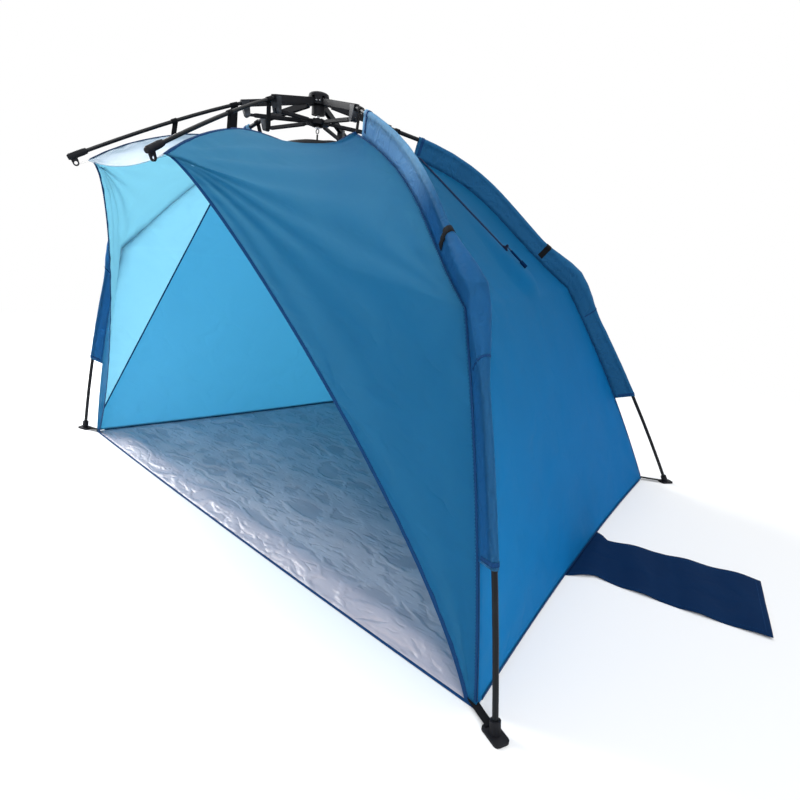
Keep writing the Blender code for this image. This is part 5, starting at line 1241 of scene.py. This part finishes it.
def awning_pole(sign, share):
    """Return a point on an awning pole and its direction."""
    out = radial(sign * AZIMUTHS["awning"])
    arm_end = out * HUB_PIN[0] + UP * HUB_PIN[1] + dropped(out, ARM_DROP) * ARM_LENGTH
    control = arm_end + dropped(out, AWNING_DROP) * AWNING_PULL
    tip = out * AWNING_TIP[0] + UP * AWNING_TIP[1]
    controls = (arm_end, control, tip - (tip - control).normalized() * (TIP_SOLID - TIP_SEAT))
    ahead, behind = bezier(controls, min(share + POLE_STEP, 1.0)), bezier(controls, max(share - POLE_STEP, 0.0))
    return bezier(controls, share), (ahead - behind).normalized()


def roof_seam_near(sign, place):
    """Return the point of the roof seam that is nearest to a place."""
    return min((roof_seam(sign, ROOF_ROWS * k / 200) for k in range(201)), key=lambda spot: (spot - place).length)


for label, sign in SIDES:
    for name, share, width in AWNING_STRAPS:
        place, along = awning_pole(sign, share)
        target = roof_seam_near(sign, place + along * HOOK_AHEAD)
        strap_loop(f"{name}_{label}", place, along, (target - place).normalized(), AWNING_STRAP_RADIUS, target, width,
                   f"rib_awning_{label}")
    lug = radial(sign * AZIMUTHS["awning"]) * (AWNING_TIP[0] - LUG_IN) + UP * (AWNING_TIP[1] - LUG_DOWN)
    across = tangential(sign * AZIMUTHS["awning"])
    for name, row in (("gusset_roof", GUSSET_ROOF_ROW), ("gusset_wing", GUSSET_WING_ROW)):
        target = wing_edge(sign, row)
        points = [lug.lerp(target, k / GUSSET_PARTS) + across * (-sign * GUSSET_SHIFT)
                  for k in range(GUSSET_PARTS + 1)]
        flat = across.cross((target - lug).cross(across).normalized())
        ribbon(f"{name}_{label}", points, flat, across, GUSSET_WIDTH, STRAP_THICKNESS, WEBBING,
               f"rib_awning_{label}")
for tail, leg in LEGS.items():
    row = ARM_BAND_ROW
    strap_loop(f"arm_band_{tail}", leg.pole(row), leg.along(row + ROW_STEP), leg.inward(row + ROW_STEP),
               LEG_STRAP_RADIUS, leg.seam(row), LEG_STRAP_WIDTH, f"rib_{tail}")

# %% [markdown]
# ## Corner straps
#
# Webbing runs from each corner of the canopy to the slot in the shoe, and keeps
# the walls tight.

# %% Corner straps
SHOE_SLOT, CORNER_STRAP_WIDTH, STEPS_BETWEEN, STEEP = 0.0205, 0.020, 5, 0.2
for tail, leg in LEGS.items():
    inner = (leg.corner - leg.foot).normalized()
    inner.z = 0.0
    slot = leg.foot - leg.out * SHOE_SLOT
    across = UP.cross(inner).normalized()
    stations = ((leg.corner + inner * 0.030, 0.014), (leg.corner + inner * 0.010, 0.010),
                (leg.corner.lerp(slot, 0.35), 0.0085), (leg.corner.lerp(slot, 0.8), 0.0086), (slot, 0.0072),
                (slot + leg.out * 0.0012, 0.0030))
    points = [Vector((spot.x, spot.y, height)) for spot, height in stations]
    fine = [first.lerp(second, k / STEPS_BETWEEN) for first, second in zip(points, points[1:])
            for k in range(STEPS_BETWEEN)] + points[-1:]
    ups = []
    for index in range(len(fine)):
        step = fine[min(index + 1, len(fine) - 1)] - fine[max(index - 1, 0)]
        up = across.cross(step).normalized()
        ups.append(up if up.z > 0.0 or abs(up.z) < STEEP else -up)
    ribbon(f"corner_strap_{tail}", fine, across, ups, CORNER_STRAP_WIDTH, STRAP_THICKNESS, WEBBING)

# %% [markdown]
# ## Crown patch
#
# All panels meet at the crown, in a shallow hollow. A round cap of black cloth
# covers the point. A short strap holds its middle up and ties it to the pull ring
# above, and its rim lies on the panels.

# %% Crown patch
PATCH_RADIUS, PATCH_LIFT, PATCH_ROWS, PATCH_TOP = 0.135, 0.0016, 34, 1.205
PATCH_RINGS, PATCH_STEPS, PATCH_FALL = 18, 64, 2.5
STEM_WIDTH, STEM_PARTS = 0.0085, 6
ABOVE = 2.0
panel_points, panel_faces = [], []
for grid in [*wall_grids.values(), roof_grid]:
    first, columns = len(panel_points), len(grid[0])
    panel_points += [point for line in grid[:PATCH_ROWS] for point in line]
    for corner in (first + i * columns + j for i in range(PATCH_ROWS - 1) for j in range(columns - 1)):
        panel_faces.append((corner, corner + columns, corner + columns + 1, corner + 1))
panels = BVHTree.FromPolygons(panel_points, panel_faces)


def cloth_height(away, angle):
    """Return the height of the panels at a place round the crown."""
    hit = panels.ray_cast(Vector((away * math.cos(angle), away * math.sin(angle), ABOVE)), -UP)[0]
    return hit.z if hit else CROWN_Z - CROWN_HANG


work = bmesh.new()
layer = work.loops.layers.uv.new("cloth")
rings = []
for k in range(PATCH_RINGS + 1):
    radius = PATCH_RADIUS * k / PATCH_RINGS
    ring = []
    for angle in (math.tau * step / PATCH_STEPS for step in range(PATCH_STEPS if k else 1)):
        rim = cloth_height(PATCH_RADIUS, angle) + PATCH_LIFT
        held = rim + (PATCH_TOP - rim) * (1.0 - (k / PATCH_RINGS) ** PATCH_FALL)
        height = max(cloth_height(radius, angle) + PATCH_LIFT, held)
        ring.append(work.verts.new((radius * math.cos(angle), radius * math.sin(angle), height)))
    rings.append(ring)
for first, second in zip(rings, rings[1:]):
    for step in range(PATCH_STEPS):
        after = (step + 1) % PATCH_STEPS
        corners = [first[step % len(first)], second[step], second[after], first[after % len(first)]]
        for loop in work.faces.new(list(dict.fromkeys(corners))).loops:
            loop[layer].uv = loop.vert.co.xy
patch = work_object("crown_patch", work, WEBBING)
thicken(patch, STRAP_THICKNESS, -1.0)
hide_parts("crown_strap")
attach(patch, "root")
stem_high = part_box("crown_strap")[1].z - PATCH_TOP
stem = [Vector((0.0, 0.0, PATCH_TOP + stem_high * k / STEM_PARTS)) for k in range(STEM_PARTS + 1)]
ribbon("crown_stem", stem, RIGHT, INWARD, STEM_WIDTH, STRAP_THICKNESS, WEBBING)

# %% [markdown]
# ## Small parts that repeat
#
# Stitches, zip teeth and rivet heads repeat. One kind of Geometry Nodes tree takes
# points with an "up" direction at each and puts a small bead on them. In a row
# it first spaces the places evenly along edges and turns each bead along the line.
# Beads are real mesh at the end, because an instance would be lost when the model
# leaves Blender.

# %% Trees of beads
def bead_tree(name, material, kind, settings, in_rows=True):
    """Build a tree that repeats a small mesh, in rows along edges or on each point."""
    tree = bpy.data.node_groups.new(name, "GeometryNodeTree")
    for label, socket in (("Guide", "Geometry"), ("Spacing", "Float"), ("Size", "Vector")):
        tree.interface.new_socket(label, in_out="INPUT", socket_type=f"NodeSocket{socket}")
    tree.interface.new_socket("Beads", in_out="OUTPUT", socket_type="NodeSocketGeometry")
    start = tree.nodes.new("NodeGroupInput").outputs
    up = add_node(tree, "GeometryNodeInputNamedAttribute", {"Name": "up"}, data_type="FLOAT_VECTOR").outputs[0]
    places, aim, pivot = start["Guide"], {"Vector": up}, "AUTO"
    if in_rows:
        curve = add_node(tree, "GeometryNodeMeshToCurve", {0: places}).outputs[0]
        places = add_node(tree, "GeometryNodeResampleCurve", {"Curve": curve, "Length": start["Spacing"]},
                          mode="LENGTH").outputs[0]
        tangent = add_node(tree, "GeometryNodeInputTangent").outputs[0]
        aim["Rotation"] = add_node(tree, "FunctionNodeAlignRotationToVector", {"Vector": tangent}, axis="X").outputs[0]
        pivot = "X"
    turn = add_node(tree, "FunctionNodeAlignRotationToVector", aim, axis="Z", pivot_axis=pivot).outputs[0]
    bead = add_node(tree, kind, settings).outputs[0]
    beads = add_node(tree, "GeometryNodeInstanceOnPoints", {"Points": places, "Instance": bead, "Rotation": turn,
                                                            "Scale": start["Size"]}).outputs[0]
    real = add_node(tree, "GeometryNodeRealizeInstances", {0: beads}).outputs[0]
    done = add_node(tree, "GeometryNodeSetMaterial", {"Geometry": real, "Material": material}).outputs[0]
    add_node(tree, "NodeGroupOutput", {0: done})
    return tree


def bead_object(name, lines, tree, spacing, size, body):
    """Repeat a tree's bead along lines of (points, ups) and return a plain mesh object."""
    points, ups, edges = [], [], []
    for line, bent in lines:
        first = len(points)
        points += line
        ups += bent
        edges += [(first + k, first + k + 1) for k in range(len(line) - 1)]
    mesh = bpy.data.meshes.new(name + "_guide")
    mesh.from_pydata(points, edges, [])
    mesh.attributes.new("up", "FLOAT_VECTOR", "POINT").data.foreach_set("vector", [part for up in ups for part in up])
    guide = new_object(name + "_guide", mesh)
    modifier = guide.modifiers.new("beads", "NODES")
    modifier.node_group = tree
    values = {"Spacing": spacing, "Size": size}
    for socket in tree.interface.items_tree:
        if socket.name in values:
            modifier[socket.identifier] = values[socket.name]
    made = bpy.data.meshes.new_from_object(guide.evaluated_get(bpy.context.evaluated_depsgraph_get()))
    bpy.data.objects.remove(guide)
    made.name = name
    item = new_object(name, made)
    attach(item, body)
    print(name, len(made.polygons), "faces")
    return item


STITCHES = bead_tree("stitches", THREAD, "GeometryNodeMeshIcoSphere", {"Radius": 0.5, "Subdivisions": 1})
TEETH = bead_tree("teeth", ZIP, "GeometryNodeMeshCube", {"Size": (1.0, 1.0, 1.0)})
RIVETS = bead_tree("rivets", STEEL, "GeometryNodeMeshUVSphere", {"Segments": 14, "Rings": 8, "Radius": 1.0},
                   in_rows=False)

# %% [markdown]
# ## Stitches
#
# Two rows of stitches hold each hem tape, one row runs beside each seam, and the
# flap has a row round its hem.

# %% Stitches
STITCH_STEP, STITCH_SIZE = 0.0075, (0.0048, 0.0011, 0.0009)
HEM_STITCHES, HEM_STITCH_LIFT = (0.003, 0.0105), 0.0013
SEAM_STITCH, SEAM_STITCH_LIFT, SEAM_STITCH_ROW, FLAP_STITCH_LIFT = 0.006, 0.0006, 4, 0.0009


def beside(grid, column, inset, lift, first):
    """Return a stitch line beside a column of a grid, on its outer face."""
    points, _, ups = edge_lines(grid, column, inset)
    sign = outer_sign(points, ups)
    ups = [up * sign for up in ups]
    return cut(([point + up * lift for point, up in zip(points, ups)], ups), first)


lines = []
for label, _ in SIDES:
    wing, side = wall_grids[f"wing_{label}"], wall_grids[f"side_{label}"]
    lines += [beside(wing, 0, inset, HEM_STITCH_LIFT, HEM_ROW) for inset in HEM_STITCHES]
    lines += [beside(grid, column, SEAM_STITCH, SEAM_STITCH_LIFT, SEAM_STITCH_ROW)
              for grid, column in ((wing, -1), (side, 0), (side, -1))]
lines += [beside(wall_grids["rear_wall"], column, SEAM_STITCH, SEAM_STITCH_LIFT, SEAM_STITCH_ROW) for column in (0, -1)]
flap_hem = [line[2] for line in flap_grid[1:-2]] + flap_grid[-3][3:-3] + [line[-3] for line in flap_grid[-3:0:-1]]
lines.append(([point + UP * FLAP_STITCH_LIFT for point in flap_hem], [UP] * len(flap_hem)))
bead_object("stitches", lines, STITCHES, STITCH_STEP, STITCH_SIZE, "root")

# %% [markdown]
# ## Zip
#
# The zip is dark tape sewn on the wall, with two rows of moulded teeth up the
# middle. The slider and its long pull are hard parts and move on their own. The
# pull has a cover and a tab of the same dark cloth.

# %% Zip
ZIP_WIDTH, ZIP_THICKNESS, ZIP_SUNK, ZIP_PARTS = 0.034, 0.0009, 0.0006, 40
TOOTH_STEP, TOOTH_SHIFT, TOOTH_SIZE = 0.0026, 0.0013, (0.0014, 0.0036, 0.0016)
PULL_CLOTHS = (("pull_cover", 0.22, 0.80, 0.0065), ("pull_tab", 0.74, 1.02, 0.0110))
PULL_THICKNESS, PULL_PARTS = 0.0055, 8
ZIP_ROWS, ZIP_COLUMN = slice(40, 60), 33

zip_up = sum((facing(line[ZIP_COLUMN], UP) for line in grid_normals(wall_grids["side_right"])[ZIP_ROWS]), Vector())
zip_up = (zip_up - zip_axis * zip_up.dot(zip_axis)).normalized()
zip_side = zip_axis.cross(zip_up).normalized()
base = (chain_low + chain_high) / 2.0
half_run = zip_run.length / 2.0
stations = [base + zip_axis * (half_run * (k / (ZIP_PARTS / 2.0) - 1.0)) for k in range(ZIP_PARTS + 1)]
ribbon("zip_tape", [spot - zip_up * ZIP_SUNK for spot in stations], zip_side, zip_up, ZIP_WIDTH, ZIP_THICKNESS, FLAP)
teeth = []
for turn in (-1.0, 1.0):
    shift = zip_side * (turn * TOOTH_SHIFT) + zip_axis * (TOOTH_STEP * 0.25 * turn)
    teeth.append(([spot + shift for spot in stations], [zip_up] * len(stations)))
coil = bead_object("zip_teeth", teeth, TEETH, TOOTH_STEP, TOOTH_SIZE, "root")
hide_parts("zip_chain")
eye = next(Vector(joint["pos_m"]) for joint in frame["joints"] if joint["name"] == "pull_swing")
tail = max((vertex.co for vertex in frame["nodes"]["zip_pull"].data.vertices), key=lambda spot: (spot - eye).length)
for name, start, stop, width in PULL_CLOTHS:
    stations = [eye.lerp(tail, start + (stop - start) * k / PULL_PARTS) for k in range(PULL_PARTS + 1)]
    ribbon(name, stations, zip_up, zip_side, width, PULL_THICKNESS, FLAP, "pull")

# %% [markdown]
# ## Rivets
#
# Each arm and strut turns on a steel rivet. Only the heads show. The frame says
# where each hinge is, and the solids round its axis say how far apart the two
# heads sit.

# %% Rivets
RIVET_SEARCH, RIVET_SPAN, RIVET_RADIUS, RIVET_RISE = 0.0050, 0.026, 0.0030, 0.0022
rivet_places = {}
for joint in frame["joints"]:
    if not joint["name"].startswith(("fold_", "swing_")):
        continue
    pin, axis = Vector(joint["pos_m"]), Vector(joint["axis"]).normalized()
    reach = [0.0, 0.0]
    for item in frame["nodes"].values():
        if item.hide_render:
            continue
        for vertex in item.data.vertices:
            gap = vertex.co - pin
            along = gap.dot(axis)
            if abs(along) < RIVET_SPAN and (gap - axis * along).length < RIVET_SEARCH:
                reach = [min(reach[0], along), max(reach[1], along)]
    for end, side in zip(reach, (-1.0, 1.0)):
        if abs(end) > RIVET_RISE:
            rivet_places.setdefault(joint["parent"], []).append(([pin + axis * end], [axis * side]))
for body, spots in rivet_places.items():
    rivets = bead_object(f"rivets_{body}", spots, RIVETS, 0.0, (RIVET_RADIUS, RIVET_RADIUS, RIVET_RISE), body)
    rivets.data.shade_smooth()

# %% [markdown]
# ## Sheets that say their size
#
# Each panel is a sheet of cloth. The lesson prints the size that each was cut to.

for name, grid in wall_grids.items():
    declare(walls[name], grid)
declare(roof, roof_grid)
declare(floor_sheet, floor_grid)
declare(flap, flap_grid)
for tail, (sleeve, grid) in sleeves.items():
    declare(sleeve, grid)

# %% [markdown]
# ## Baking and copying the cloth's meshes
#
# The frame folds like an umbrella, and the canopy drops. Straps stay on the poles
# that they hang from, because they ride on the ribs. Here each sleeve's place is
# baked into its mesh, and the walls, roof, floor and all that is sewn on them get
# a mesh of their own.

# %% Folding
ELBOW_BEND, SUNK = 0.045, 0.05
SINKING = ("floor_sheet", "floor_front_tape", "ground_tape", "cloth_", "rear_cloth", "hem_tape", "roof_seam",
           "roof_lip", "seam_tape", "strip_seam", "stitches", "zip_tape", "zip_teeth", "crown_")
for tail, (sleeve, _) in sleeves.items():
    knee = LEGS[tail].knee
    start, end = (knee + (LEGS[tail].pole(row) - knee).normalized() * ELBOW_BEND
                  for row in (KNEE_ROW - 0.5, KNEE_ROW + 0.5))
    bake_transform(sleeve)
for item in [item for item in bpy.data.objects if item.name.startswith(SINKING)]:
    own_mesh(item)
